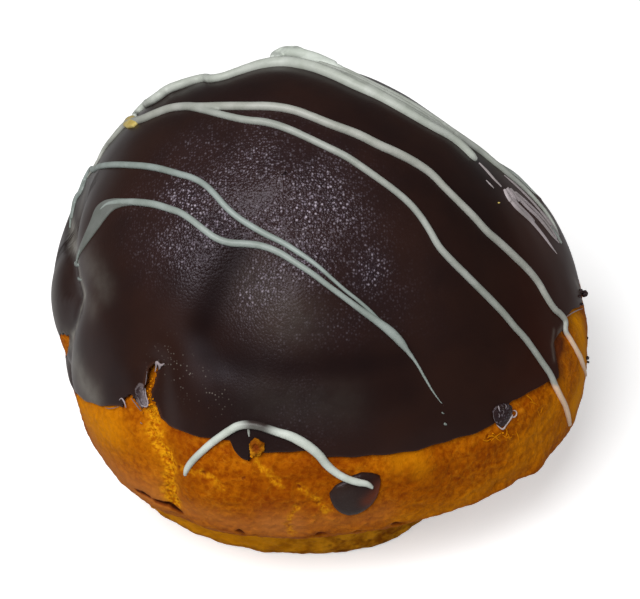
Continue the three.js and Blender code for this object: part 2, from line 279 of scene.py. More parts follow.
# %% [markdown]
# Rings of points have to be spaced evenly along the wall, not by height. So the wall's length from
# the lip up to any climb is measured once, and `rings_between` gives the climbs of a run of rings.

# %% Lengths along the wall
arc_climbs = np.linspace(-90, 90, 1801)
arc_points = wall(np.zeros(len(arc_climbs)), arc_climbs)
arc_steps = np.linalg.norm(np.diff(arc_points, axis=0), axis=1)
arc_lengths = np.concatenate([[0], np.cumsum(arc_steps)])
WHOLE_WAY = float(arc_lengths[-1])


def way_up(climb):
    """Length of the plain wall from the lip up to a climb."""
    return np.interp(climb, arc_climbs, arc_lengths)


def rings_between(low, high, spacing):
    """Climbs of evenly spaced rings between two lengths of the wall."""
    steps = max(1, round((high - low) / spacing))
    return np.interp(np.linspace(low, high, steps + 1), arc_lengths, arc_climbs)


print("from the lip to the crown", round(WHOLE_WAY, 1), "mm")

# %% [markdown]
# ## Turning a skin
#
# A body of revolution is made as on a potter's wheel: one point is extruded along the profile, and
# the spin operator carries the chain once round. Spinning leaves a double seam and a doubled pole,
# which are merged. The rings are close together where detail comes later, and far apart where the
# coat will hide them.

# %% Spinning a profile into a skin


def turned(name, profile, steps):
    """Extrudes a chain of points along a profile and spins it into a skin of rings."""
    piece = added(name, bpy.ops.mesh.primitive_plane_add, size=MM)
    bpy.ops.object.mode_set(mode="EDIT")
    bpy.ops.mesh.select_mode(type="VERT")
    bpy.ops.mesh.select_all(action="SELECT")
    bpy.ops.mesh.merge(type="CENTER")
    bpy.ops.transform.translate(value=(profile[0][0] * MM, 0, profile[0][1] * MM))
    for (radius, height), (wider, higher) in zip(profile[:-1], profile[1:]):
        move = ((wider - radius) * MM, 0, (higher - height) * MM)
        bpy.ops.mesh.extrude_vertices_move(TRANSFORM_OT_translate={"value": move})
    bpy.ops.mesh.select_all(action="SELECT")
    bpy.ops.mesh.spin(steps=steps, angle=2 * math.pi, center=(0, 0, 0), axis=(0, 0, 1))
    bpy.ops.mesh.select_all(action="SELECT")
    bpy.ops.mesh.remove_doubles(threshold=1e-6)
    bpy.ops.mesh.normals_make_consistent(inside=False)
    bpy.ops.object.mode_set(mode="OBJECT")
    return piece


def profile_of(climbs):
    plain = wall(np.zeros(len(climbs)), climbs)
    return [(float(x), float(z)) for x, _, z in plain]


def azimuth_and_climb(points):
    azimuth = np.degrees(np.arctan2(points[:, 1], points[:, 0]))
    return azimuth, climb_to(points[:, 2])


guide_rings = rings_between(0, WHOLE_WAY, 0.8)
guide = turned("guide", profile_of(guide_rings), 360)
put_points(guide, skin(*azimuth_and_climb(points_of(guide))))
bpy.context.view_layer.update()
count(guide)

# %% [markdown]
# ## Marks by where they are seen
#
# `guide` is a plain skin that is only there to be hit by lines of sight, and it is thrown away at
# the end. `spot` gives the place on it under a point of the picture, and `seen` goes the other way.

# %% Lines of sight
EYE = np.array(camera.location) / MM
LOOK = -np.array(AWAY)
RIGHT = np.array([1.0, 0, 0])
UP = np.cross(RIGHT, LOOK)
PICTURE_MIDDLE = (320, 299.5)
MISS_STEP = 0.006


def spot(x, y):
    """The guide's point under a picture point and the way its skin faces there."""
    for _ in range(40):
        offset = RIGHT * (x - PICTURE_MIDDLE[0]) + UP * (PICTURE_MIDDLE[1] - y)
        ray = Vector(LOOK * FOCAL + offset).normalized()
        hit, place, normal, _ = guide.ray_cast(Vector(EYE * MM), ray)
        if hit:
            return np.array(place) / MM, np.array(normal)
        x += (PICTURE_MIDDLE[0] - x) * MISS_STEP  # past the outline: step back towards the middle
        y += (PICTURE_MIDDLE[1] - y) * MISS_STEP
    raise ValueError(f"nothing is seen at {x}, {y}")


def seen(points):
    """Picture points of places in millimetres."""
    away = np.asarray(points) - EYE
    depth = away @ LOOK
    x = PICTURE_MIDDLE[0] + FOCAL * (away @ RIGHT) / depth
    y = PICTURE_MIDDLE[1] - FOCAL * (away @ UP) / depth
    return np.stack([x, y], axis=-1)


def spots(picture_route):
    return np.array([spot(x, y)[0] for x, y in picture_route])


def dab(points, x, y, spread):
    """A round touch about a picture point, 1 in its middle."""
    return bell(np.linalg.norm(points - spot(x, y)[0], axis=1), spread)


def inside(places, outline):
    """True for the picture places inside an outline."""
    x, y = places[:, 0], places[:, 1]
    crossed = np.zeros(len(places), bool)
    for (x0, y0), (x1, y1) in zip(outline, outline[1:] + outline[:1]):
        if y0 != y1:
            crossed ^= ((y0 > y) != (y1 > y)) & (x < (x1 - x0) * (y - y0) / (y1 - y0) + x0)
    return crossed


print("under the picture's middle, mm:", np.round(spot(*PICTURE_MIDDLE)[0], 1))

# %% [markdown]
# ## The chocolate's rim
#
# The dipped edge isn't level: the chocolate ran a little here and there, stopped short over the
# right side in an arch, and ran down in one short tongue at the front. The rim is a chain of
# stations round the bun. Those in front are given by where the rim is seen, and the rest, with the
# sharp turns of the tongue and of the arch, by azimuth and height. Every mesh of the skin has one
# ring of points exactly on the rim.

# %% The rim line and the shares above and below it
RIM_SEEN = [
    (86, 402), (93, 405), (100, 407), (110, 407), (119, 406), (160, 420), (168, 426), (177, 430),
    (193, 437), (210, 441.5), (263, 454), (273, 455), (297, 454), (310, 454), (327, 458),
    (470, 437), (485, 431), (493, 427), (505, 413), (514, 404), (527, 397), (541, 388), (551, 384),
    (558, 362), (556, 346), (560, 337), (568, 319), (574, 314), (581, 309),
]
RIM_STATIONS = [
    (-178, 12.8), (-173, 12.5), (-168, 12.2), (-162, 12.3), (-158, 13.8), (-154, 17), (-150, 20.4),
    (-147, 22.2), (-144, 23), (-126, 28.5),
    (-104.6, 28.9), (-103.5, 29.1), (-103.1, 28.6), (-102.6, 27.9), (-101.6, 27.3), (-100.7, 26.85),
    (-99.5, 26.8), (-99, 27.2), (-98.9, 28.1), (-98.8, 28.9), (-98.4, 29.3), (-97.6, 29.1),
    (-74, 26.6), (-68, 26.3), (-61, 25.9), (-28.6, 23.9), (-27.8, 24.3), (-27.2, 25), (-20, 27.5),
    (-5, 23.8), (0, 24), (12, 25.5), (20, 24.2), (30, 23), (40, 24.9), (50, 26), (60, 25.2),
    (70, 24), (81, 25.8), (92, 27), (102, 25.5), (112, 24.5), (122, 25.8), (132, 26.5), (141, 24.6),
    (150, 23), (160, 22.6), (168, 21.8), (173, 20.5), (176, 17), (179, 14),
]
PLAIN_RIM_HEIGHT = 27  # where the rim's ring lies while the mesh is still plain
RIM_CLIMB = float(climb_to(PLAIN_RIM_HEIGHT))
RIM_WAY = float(way_up(RIM_CLIMB))


def station(x, y):
    """The azimuth and the height of the skin at a picture point."""
    place = spot(x, y)[0]
    return math.degrees(math.atan2(place[1], place[0])), float(place[2])


rim = np.array(sorted(RIM_STATIONS + [station(x, y) for x, y in RIM_SEEN]))


def rim_height(azimuth):
    wiggle = 0.1 * np.sin(np.radians(azimuth) * 23) + 0.07 * np.sin(np.radians(azimuth) * 57 + 1)
    return np.interp(azimuth, rim[:, 0], rim[:, 1], period=360) + wiggle


def to_rim(azimuth, climb):
    """Slides the plain rings so that one of them follows the rim."""
    rim_climb = climb_to(rim_height(azimuth))
    below = -90 + (climb + 90) * (rim_climb + 90) / (RIM_CLIMB + 90)
    above = rim_climb + (climb - RIM_CLIMB) * (90 - rim_climb) / (90 - RIM_CLIMB)
    return np.where(climb < RIM_CLIMB, below, above)


print(len(rim), "stations, from", round(rim[:, 1].min(), 1), "to", round(rim[:, 1].max(), 1), "mm high")

# %% [markdown]
# ## The baked crust
#
# The crust is turned in one piece, from the middle of its flat underside up to the crown. Under the
# coat the rings are few. In the front, where the crust is bare and close to the eye, every face is
# split in four.

# %% The crust's plain skin
CRUST_STEPS = 480
FRONT = (-168, -8)

foot_turns = np.radians([0, 30, 60, 90])
foot_edge = [
    (FOOT_RADIUS - FOOT_FILLET * (1 - math.sin(t)), FOOT_FILLET * (1 - math.cos(t)))
    for t in foot_turns
]
foot_heights = np.linspace(FOOT_FILLET, LIP_HEIGHT, 18)[1:-1]
foot_wall = [
    (float(np.interp(h, (0, LIP_HEIGHT), (FOOT_RADIUS, LIP_RADIUS))), float(h))
    for h in foot_heights
]
underside = [(radius, 0.0) for radius in (0, 8, 15, 21, 25.5, 27.8)]
bare = rings_between(0, RIM_WAY + 0.8, 0.42)
hidden = rings_between(RIM_WAY + 0.8, WHOLE_WAY, 2.6)[1:]
crust_profile = underside + foot_edge + foot_wall + profile_of(np.concatenate([bare, hidden]))
crust = turned("choux_crust", crust_profile, CRUST_STEPS)

middles = middles_of(crust)
azimuths, climbs = azimuth_and_climb(middles)
in_front = (azimuths > FRONT[0]) & (azimuths < FRONT[1])
is_bare = (middles[:, 2] > FOOT_FILLET) & (way_up(climbs) < RIM_WAY + 0.4)
split_in_four(crust, in_front & is_bare)
count(crust)

# %% [markdown]
# The coat lies in the crust's surface, not on top of it, so the crust sinks a little under the rim
# and more under the coat. `above_rim` is how far each point lies up the wall from the rim.

# %% The crust laid on the form, with a bed for the coat
BED_AT_RIM = 0.42
BED_DEPTH = 1.3


def smooth_step(values, low, high):
    share = np.clip((values - low) / (high - low), 0, 1)
    return share * share * (3 - 2 * share)


def laid_on_form(piece):
    """Puts a plain turned skin on the form, and tells how far each point is above the rim."""
    plain = points_of(piece)
    azimuth, climb = azimuth_and_climb(plain)
    swollen = skin(azimuth, to_rim(azimuth, climb))
    on_foot = plain[:, 2] <= LIP_HEIGHT
    swollen[on_foot] = plain[on_foot]
    return swollen, np.where(on_foot, -RIM_WAY, way_up(climb) - RIM_WAY), azimuth


crust_points, above_rim, crust_azimuth = laid_on_form(crust)
bed = BED_AT_RIM * smooth_step(above_rim, -2.4, -0.1)
bed += (BED_DEPTH - BED_AT_RIM) * smooth_step(above_rim, 0.2, 3.4)
crust_points -= outward(crust_points) * bed[:, None]
put_points(crust, crust_points)
print("the bed is", round(float(bed.max()), 2), "mm deep")

# %% [markdown]
# Baked choux has a skin like fine leather: soft hollows a few millimetres wide, a web of thin
# raised fibres where the skin stretched, and pinholes where steam came out. Each comes from its own
# size of noise. Noise is read at the point itself, so it has no seam. `web` is high along thin
# lines, because the middle value of a noise field runs along lines.

# %% Leathery relief


def noise_at(points, size, seed):
    """Smooth noise from -1 to 1 whose features are about one size across."""
    shift = Vector((seed * 17.3, seed * 7.1, seed * 3.7))
    return np.array([noise.noise(Vector(p) / size + shift) for p in points])


def web_at(points, size, seed, sharpness):
    """1 along a web of thin lines, falling to 0 between them."""
    return np.exp(-np.abs(noise_at(points, size, seed)) * sharpness)


crust_normals = normals_of(crust)
shows = (above_rim < 1.2) & (crust_points[:, 2] > 0.05)
places = crust_points[shows]
hollows = noise_at(places, 5.0, 1) + 0.6 * noise_at(places, 2.4, 2)
web = 0.6 * web_at(places, 2.6, 3, 9) + 0.6 * web_at(places, 1.5, 4, 7)
relief = 0.16 * hollows + 0.1 * web + 0.11 * noise_at(places, 0.95, 5)
relief *= smooth_step(places[:, 2], 0.2, 2) * (1 - 0.6 * smooth_step(above_rim[shows], -0.4, 0.4))
crust_web = np.zeros(len(crust_points))
crust_web[shows] = web
raised = np.zeros(len(crust_points))
raised[shows] = relief
crust_points += crust_normals * raised[:, None]
print("relief from", round(float(relief.min()), 2), "to", round(float(relief.max()), 2), "mm")

# %% [markdown]
# Then come the marks that belong to this one bun. `press` is the brush: it moves the points near a
# route in or out and tells how strongly each point was touched, so that the crust's colours can
# follow. The long fibrous split on the left starts at the torn chocolate and runs down to the lip.

# %% The split, the slits and the pinholes


def press(route, width, depth, ragged=0.0):
    """Presses a groove along a route of places; a negative depth raises a ridge."""
    global crust_points
    reach = nearest(crust_points, route)
    near = reach < width * 4
    touch = np.zeros(len(crust_points))
    if ragged:
        rough = noise_at(crust_points[near], width * 1.6, 9)
        reach[near] = np.maximum(0, reach[near] + rough * ragged)
    touch[near] = bell(reach[near], width)
    crust_points -= crust_normals * (touch * depth)[:, None]
    return touch


SPLIT = [
    (154, 374), (153, 385), (149, 396), (151, 408), (154, 420), (152, 433), (158, 444),
    (166, 452), (169, 463), (171, 477), (170, 494), (176, 504),
]
SPLIT_BRANCHES = [
    [(170, 468), (184, 469), (202, 472), (215, 480), (222, 488)],
    [(256, 462), (263, 470), (273, 479), (279, 486)],
    [(298, 484), (309, 495), (322, 504), (328, 511)],
    [(297, 506), (290, 516), (287, 524), (293, 532)],
]
split = press(spots(SPLIT), 0.8, 0.26, ragged=0.8)
press(spots(SPLIT), 0.35, 0.2, ragged=0.4)
branches = np.zeros(len(crust_points))
for route in SPLIT_BRANCHES:
    branches = np.maximum(branches, press(spots(route), 0.45, 0.06, ragged=0.6))
crumbly_part = np.maximum(split, branches) > 0.1
crumble = np.zeros(len(crust_points))
crumble[crumbly_part] = noise_at(crust_points[crumbly_part], 0.42, 6)
crust_points += crust_normals * (0.17 * crumble * np.maximum(split, 0.6 * branches))[:, None]

SLITS = [
    ([(137, 490), (143, 493), (149, 496.5)], 0.26, 0.2),
    ([(156, 501), (162, 503), (170, 506), (180, 512.5)], 0.34, 0.42),
    ([(239, 532), (247, 535), (254, 538)], 0.3, 0.7),
    ([(311, 541), (318, 542), (322, 541)], 0.5, 1.0),
    ([(358, 533), (366, 531)], 0.32, 0.7),
    ([(396, 526), (402, 524)], 0.42, 0.7),
]
# what the slits and pinholes touched is darkened with painted shade in the crust's finish
dark = np.zeros(len(crust_points))
for route, width, depth in SLITS:
    dark = np.maximum(dark, press(spots(route), width, depth, ragged=0.15))

PINHOLES = [
    (152, 428), (155, 441), (166, 459), (178, 468), (203, 472), (262, 469), (300, 487), (319, 503),
    (289, 519), (150, 412), (170, 484), (244, 478), (415, 500), (335, 520), (226, 500), (128, 452),
]
pin = np.zeros(len(crust_points))
for x, y in PINHOLES:
    tail = (x + 1.6 * math.sin(x), y + 1.2 * math.cos(y))
    pin = np.maximum(pin, 0.7 * press(spots([(x, y), tail]), 0.15 + 0.04 * math.sin(y), 0.2))
print(len(PINHOLES), "pinholes,", len(SLITS), "slits")

# picture point, spread and rise of single dents and bumps
DENTS = [
    ((538, 466), 1.3, 0.5), ((517, 479), 1.1, -0.35), ((498, 486), 0.6, -0.5),
    ((120, 440), 2.0, 0.2), ((210, 495), 2.6, 0.25), ((420, 490), 2.4, 0.2),
    ((350, 525), 1.6, -0.2), ((72, 386), 2.6, -0.5),
]
for (x, y), spread, rise in DENTS:
    crust_points += crust_normals * (rise * dab(crust_points, x, y, spread))[:, None]
# where the coat left a gap on the left flank, the crust swells out between its edges
FLANK_SWELL = [(59, 335), (61, 340), (63, 346), (65.5, 352)]
press(spots(FLANK_SWELL), 2.2, -1.6)

# %% [markdown]
# The lip is where the belly folds back over the foot. Its edge is thin and raised, with a crease just
# under it; in the crust's finish the edge gets a tan painted sheen, in front a pale painted highlight,
# and the crease painted shade. Both run all the way round, so they are pressed by height, not by a
# route. The foot below is uneven, swells a little in front and draws in on the right, and still
# stands flat.

# %% The lip's edge and the crease under it
CREASE_DEPTH = 0.55
way_from_lip = crust_points[:, 2] - LIP_HEIGHT
lip_wander = 0.35 * np.sin(np.radians(crust_azimuth) * 7) + 0.25 * np.sin(
    np.radians(crust_azimuth) * 19 + 2
)
crease = bell(way_from_lip + 0.45 - lip_wander * 0.5, 0.32)
lip_edge = bell(way_from_lip - 0.55 - lip_wander * 0.5, 0.4)
foot_bulge = 0.6 * bell((crust_azimuth + 66) / 10, 1) - 1.5 * bell((crust_azimuth + 40) / 14, 1)
foot_bulge += 0.25 * noise_at(crust_points, 2.2, 13) + 0.12 * noise_at(crust_points, 0.8, 14)
foot_bulge *= smooth_step(-way_from_lip, 0, 2)
crust_points += crust_normals * (foot_bulge * (crust_points[:, 2] > 0.05))[:, None]
crust_points -= crust_normals * (crease * CREASE_DEPTH)[:, None]
crust_points += crust_normals * (lip_edge * 0.18)[:, None]
crust_points[:, 2] = np.maximum(crust_points[:, 2], 0)
put_points(crust, crust_points)
smooth(crust)
count(crust)

# %% [markdown]
# ## The chocolate coat
#
# The coat is the same skin from the rim up. Its rings crowd together at the rim, where the
# chocolate thins out and rounds over. Two patches are split finely, because torn pieces are cut out
# of them: a notch at the left front, split twice, and a small gap on the left flank.

# %% The coat's plain skin
COAT_STEPS = 480
COAT_THICKNESS = 1.0
RIM_THICKNESS = 0.36

coat_rings = np.concatenate([
    rings_between(RIM_WAY, RIM_WAY + 1.2, 0.2),
    rings_between(RIM_WAY + 1.2, RIM_WAY + 6, 0.45)[1:],
    rings_between(RIM_WAY + 6, WHOLE_WAY, 0.95)[1:],
])
coat = turned("chocolate_skin", profile_of(coat_rings), COAT_STEPS)
azimuths, climbs = azimuth_and_climb(middles_of(coat))
near_rim = (azimuths > FRONT[0]) & (azimuths < FRONT[1]) & (way_up(climbs) < RIM_WAY + 1.5)
split_in_four(coat, near_rim)

NOTCH_BOX = [(112, 352), (178, 352), (178, 436), (112, 436)]
FLANK_BOX = [(46, 212), (94, 212), (94, 368), (46, 368)]
NEAR_SIDE = 3  # what lies further back than this is on the far side, in millimetres
for boxes in ([NOTCH_BOX, FLANK_BOX], [NOTCH_BOX]):
    azimuths, climbs = azimuth_and_climb(middles_of(coat))
    middles = skin(azimuths, to_rim(azimuths, climbs))
    boxed = np.any([inside(seen(middles), box) for box in boxes], axis=0)
    split_in_four(coat, boxed & (middles[:, 1] < NEAR_SIDE))
put_points(coat, laid_on_form(coat)[0])
count(coat)

# %% [markdown]
# The notch is where the set chocolate cracked and came away with the crust under it. Its outline
# is drawn in two parts, with a tongue of chocolate left between them, and the flank's gap has one of
# its own. Noise makes the outlines ragged, and the faces inside them are deleted.

# %% Cutting the torn notch
CRACK_OUTLINE = [
    (154, 364), (150, 368), (147.5, 375), (145.5, 384), (144, 394), (143, 401), (141, 408),
    (146, 430), (158, 430), (161, 421), (159, 412), (156, 406), (151.5, 400), (150.5, 393),
    (153, 385), (155.5, 378), (157, 371), (156.5, 366),
]
FLANK_OUTLINE = [
    (48, 334), (56, 335.5), (62, 335), (68.5, 337), (68.5, 345), (67, 352), (65, 358), (60, 358),
    (50, 345),
]
TONGUE_GAP_OUTLINE = [
    (121, 417), (122.5, 407), (123, 400), (126, 395), (129.5, 394), (133, 397), (136.5, 402),
    (140, 406), (142, 412), (142, 422),
]
middles = middles_of(coat)
where = seen(middles)
ragged = where + 1.1 * np.stack([noise_at(middles, 0.5, 31), noise_at(middles, 0.5, 32)], axis=-1)
torn = inside(ragged, CRACK_OUTLINE) | inside(ragged, TONGUE_GAP_OUTLINE)
on_flank = inside(ragged, FLANK_OUTLINE) & (middles[:, 1] < NEAR_SIDE)
pick_faces(coat, (torn & (middles[:, 1] < 0)) | on_flank)
bpy.ops.mesh.delete(type="FACE")
bpy.ops.mesh.select_mode(type="VERT")
bpy.ops.mesh.select_all(action="DESELECT")
bpy.ops.mesh.select_non_manifold(extend=False)
bpy.ops.mesh.vertices_smooth(factor=0.5, repeat=2)
bpy.ops.object.mode_set(mode="OBJECT")
print(int(torn.sum()), "faces torn out")

# %% [markdown]
# The coat's outer face has soft lumps of its own: a round bump near the crown, a valley and a mound
# in the front, a sharp crease on the left flank, and faint ripples where the chocolate slid before
# it set. The wall thins towards every edge and rounds over there.

# %% Soft lumps, ripples and the rounded rim
# picture point, spread and rise in millimetres
COAT_BUMPS = [
    ((283, 172), 0.75, 0.42), ((283, 172), 2.0, -0.12), ((300, 296), 4.2, 0.5),
    ((238, 403), 0.8, 0.12), ((541, 197), 0.9, 0.3), ((55, 300), 3.5, 0.5), ((73, 386), 2.6, -0.4),
    ((500, 163), 3.0, -0.4), ((174, 95), 3.4, 0.55),
    ((200, 245), 5.0, 0.25), ((330, 215), 6.0, 0.2), ((110, 300), 5.0, 0.15),
]
RIPPLES = [
    [(225, 384), (262, 391), (300, 392), (335, 388)],
    [(250, 402), (290, 405), (330, 401), (362, 393)],
    [(330, 420), (365, 414), (398, 402)],
]
VALLEY = [(238, 262), (229, 280), (217, 305), (204, 330)]
CREASE = [
    (68.6, 223), (70, 240), (75, 260), (78, 280), (82, 296), (78, 310), (75, 324), (70, 338),
]


def coat_lumps(points):
    """How far the set chocolate's own lumps stand out at places on the form."""
    lump = 0.14 * noise_at(points, 9.0, 11) + 0.05 * noise_at(points, 4.0, 12)
    for (x, y), spread, rise in COAT_BUMPS:
        lump += rise * dab(points, x, y, spread)
    for route in RIPPLES:
        lump += 0.1 * bell(nearest(points, spots(route)), 1.1)
    lump -= 0.6 * bell(nearest(points, spots(VALLEY)), 2.3)
    lump -= 0.25 * bell(nearest(points, spots(CREASE)), 0.45)
    return lump


def above_rim_of(points):
    """How far points are up the wall from the rim."""
    azimuth, climb = azimuth_and_climb(points)
    return way_up(climb) - way_up(climb_to(rim_height(azimuth)))


coat_points = points_of(coat)
coat_normals = normals_of(coat)
coat_above = above_rim_of(coat_points)
lump = coat_lumps(coat_points)
open_edge = spots([(x, y) for x, y in CRACK_OUTLINE if y < 424])
flank_edge = spots([(x, y) for x, y in FLANK_OUTLINE if x > 56])
edge_way = np.maximum(coat_above, 0)
for route in (open_edge, flank_edge):
    edge_way = np.minimum(edge_way, nearest(coat_points, route) + 0.05)
rounding = 1 - np.sqrt(1 - np.clip(1 - edge_way / 0.5, 0, 1) ** 2)
coat_points += coat_normals * (lump * smooth_step(coat_above, 0.2, 3))[:, None]
coat_points -= coat_normals * (0.2 * rounding)[:, None]
put_points(coat, coat_points)

# a vertex group takes one weight at a time, so the thickness goes in by twenty steps
LAST_STEP = 19
THINNING = COAT_THICKNESS - RIM_THICKNESS
thickness = RIM_THICKNESS + THINNING * smooth_step(edge_way, 0.3, 3.4)
steps = np.round((thickness - RIM_THICKNESS) / THINNING * LAST_STEP)
group = coat.vertex_groups.new(name="thickness")
for step in range(LAST_STEP + 1):
    share = (RIM_THICKNESS + THINNING * step / LAST_STEP) / COAT_THICKNESS
    group.add([int(i) for i in np.nonzero(steps == step)[0]], share, "REPLACE")
keep_value(coat, "rim_way", np.minimum(edge_way, 6))

# the guide takes on the same lumps, so that the piped lines will lie on the chocolate
guide_points = points_of(guide)
guide_lump = coat_lumps(guide_points) * smooth_step(above_rim_of(guide_points), 0.2, 3)
put_points(guide, guide_points + normals_of(guide) * guide_lump[:, None])
bpy.context.view_layer.update()

apply(
    coat, "SOLIDIFY", thickness=COAT_THICKNESS * MM, offset=-1, vertex_group="thickness",
    use_rim=True,
)
smooth(coat)
count(coat)

# %% [markdown]
# ## Blobs that lie on the skin
#
# A fallen drop, a blister and a thin smear all have the same build: an uneven outline on the skin,
# a domed top and a flat underside. So one function makes them. It starts from a sphere, pulls its
# equator out to the outline, and lays every point on the skin.

# %% Blobs


def blob(name, outline, rise, sink, rings=20, flat=1.0):
    """A flattened drop on the skin, from its outline in the picture."""
    piece = added(
        name, bpy.ops.mesh.primitive_uv_sphere_add, segments=48, ring_count=rings, radius=1
    )
    ball = points_of(piece) * MM
    corners = np.array(outline, float)
    centre = corners.mean(axis=0)
    sides = zip(corners, np.roll(corners, -1, axis=0))
    corners = np.concatenate([np.linspace(start, end, 6, endpoint=False) for start, end in sides])
    turns = np.arctan2(*(corners - centre).T[::-1])
    order = np.argsort(turns)
    reach = np.linalg.norm(corners - centre, axis=1)
    placed = []
    for x, y, z in ball:
        turn = math.atan2(y, x)
        radius = np.interp(turn, turns[order], reach[order], period=2 * math.pi)
        share = math.hypot(x, y)
        at = centre + radius * share * np.array([math.cos(turn), math.sin(turn)])
        place, normal = spot(*at)
        height = rise * abs(z) ** flat if z > 0 else -sink * abs(z)
        placed.append(place + normal * height)
    put_points(piece, placed)
    only(piece)
    bpy.ops.object.mode_set(mode="EDIT")
    bpy.ops.mesh.select_all(action="SELECT")
    bpy.ops.mesh.normals_make_consistent(inside=False)
    bpy.ops.object.mode_set(mode="OBJECT")
    bpy.ops.object.shade_smooth()
    return piece


DROP_OUTLINE = [
    (329, 493), (330.5, 500), (334, 507), (340, 512), (348, 514.5), (357, 513), (365, 509),
    (372, 503), (377, 496), (379.5, 488), (381, 481), (379.5, 475), (372, 472.5), (362, 472),
    (353, 475), (344, 480), (335, 485),
]
drop = blob("fallen_drop", DROP_OUTLINE, rise=0.95, sink=0.1, flat=0.75)
count(drop)

# %% [markdown]
# ## The piped lines
#
# White chocolate from a snipped bag falls as a round cord, sinks a little, and melts together
# where lines touch. Each line is a curve through points of the picture, each with its own half
# width, laid on the skin by `spot`. The curve is given a round section and made a mesh. All the
# lines are then joined and remeshed into one skin, which melts crossing lines together as the real
# ones do.

# %% A strand on the skin
STRAND_LIFT = 0.3  # share of a strand's half width that its middle lies above the skin


def strand(name, bends, body=0.5, sides=4):
    """A round cord through bends, each a place and a half width; body is how white it is."""
    cord = added(name, bpy.ops.curve.primitive_bezier_curve_add)
    spline = cord.data.splines[0]
    spline.bezier_points.add(len(bends) - 2)
    for knot, (place, width) in zip(spline.bezier_points, bends):
        knot.handle_left_type = knot.handle_right_type = "AUTO"
        knot.co = Vector(place * MM)
        knot.radius = width
    cord.data.bevel_depth = MM
    cord.data.bevel_resolution = sides
    cord.data.use_fill_caps = True
    spline.resolution_u = 5
    bpy.ops.object.convert(target="MESH")
    cord = bpy.context.object
    keep_value(cord, "body", np.full(len(cord.data.vertices), body))
    return cord


def lifted(x, y, height):
    """A place some way above the skin that is seen at a picture point."""
    place, normal = spot(x, y)
    slip = seen(place + normal * height) - (x, y)
    place, normal = spot(*(np.array([x, y]) - slip))
    return place + normal * height


def picture_strand(name, bends, lift=STRAND_LIFT, scale=1.0, **how):
    """A strand through picture points, each with a half width and perhaps its own height."""
    knots = []
    for x, y, width, *height in bends:
        width *= scale
        knots.append((lifted(x, y, height[0] if height else width * lift), width))
    return strand(name, knots, **how)


def joined(name, pieces):
    only(pieces[0])
    for piece in pieces[1:]:
        piece.select_set(True)
    bpy.ops.object.join()
    pieces[0].name = name
    return pieces[0]


def melted(piece, voxel, rounds):
    """Melts strands into one skin and carries their body values over to it."""
    before = points_of(piece)
    body = kept_value(piece, "body")
    tree = KDTree(len(before))
    for i, point in enumerate(before):
        tree.insert(point, i)
    tree.balance()
    apply(piece, "REMESH", mode="VOXEL", voxel_size=voxel * MM)
    apply(piece, "SMOOTH", factor=0.5, iterations=rounds)
    after = [sum(body[i] for _, i, _ in tree.find_n(point, 4)) / 4 for point in points_of(piece)]
    keep_value(piece, "thickness", after)
    smooth(piece)
    count(piece)


# %% [markdown]
# The lines were piped in long to-and-fro strokes, so they come in pairs that fork or run together.
# A line is widest where the bag paused, and thin where it hurried.

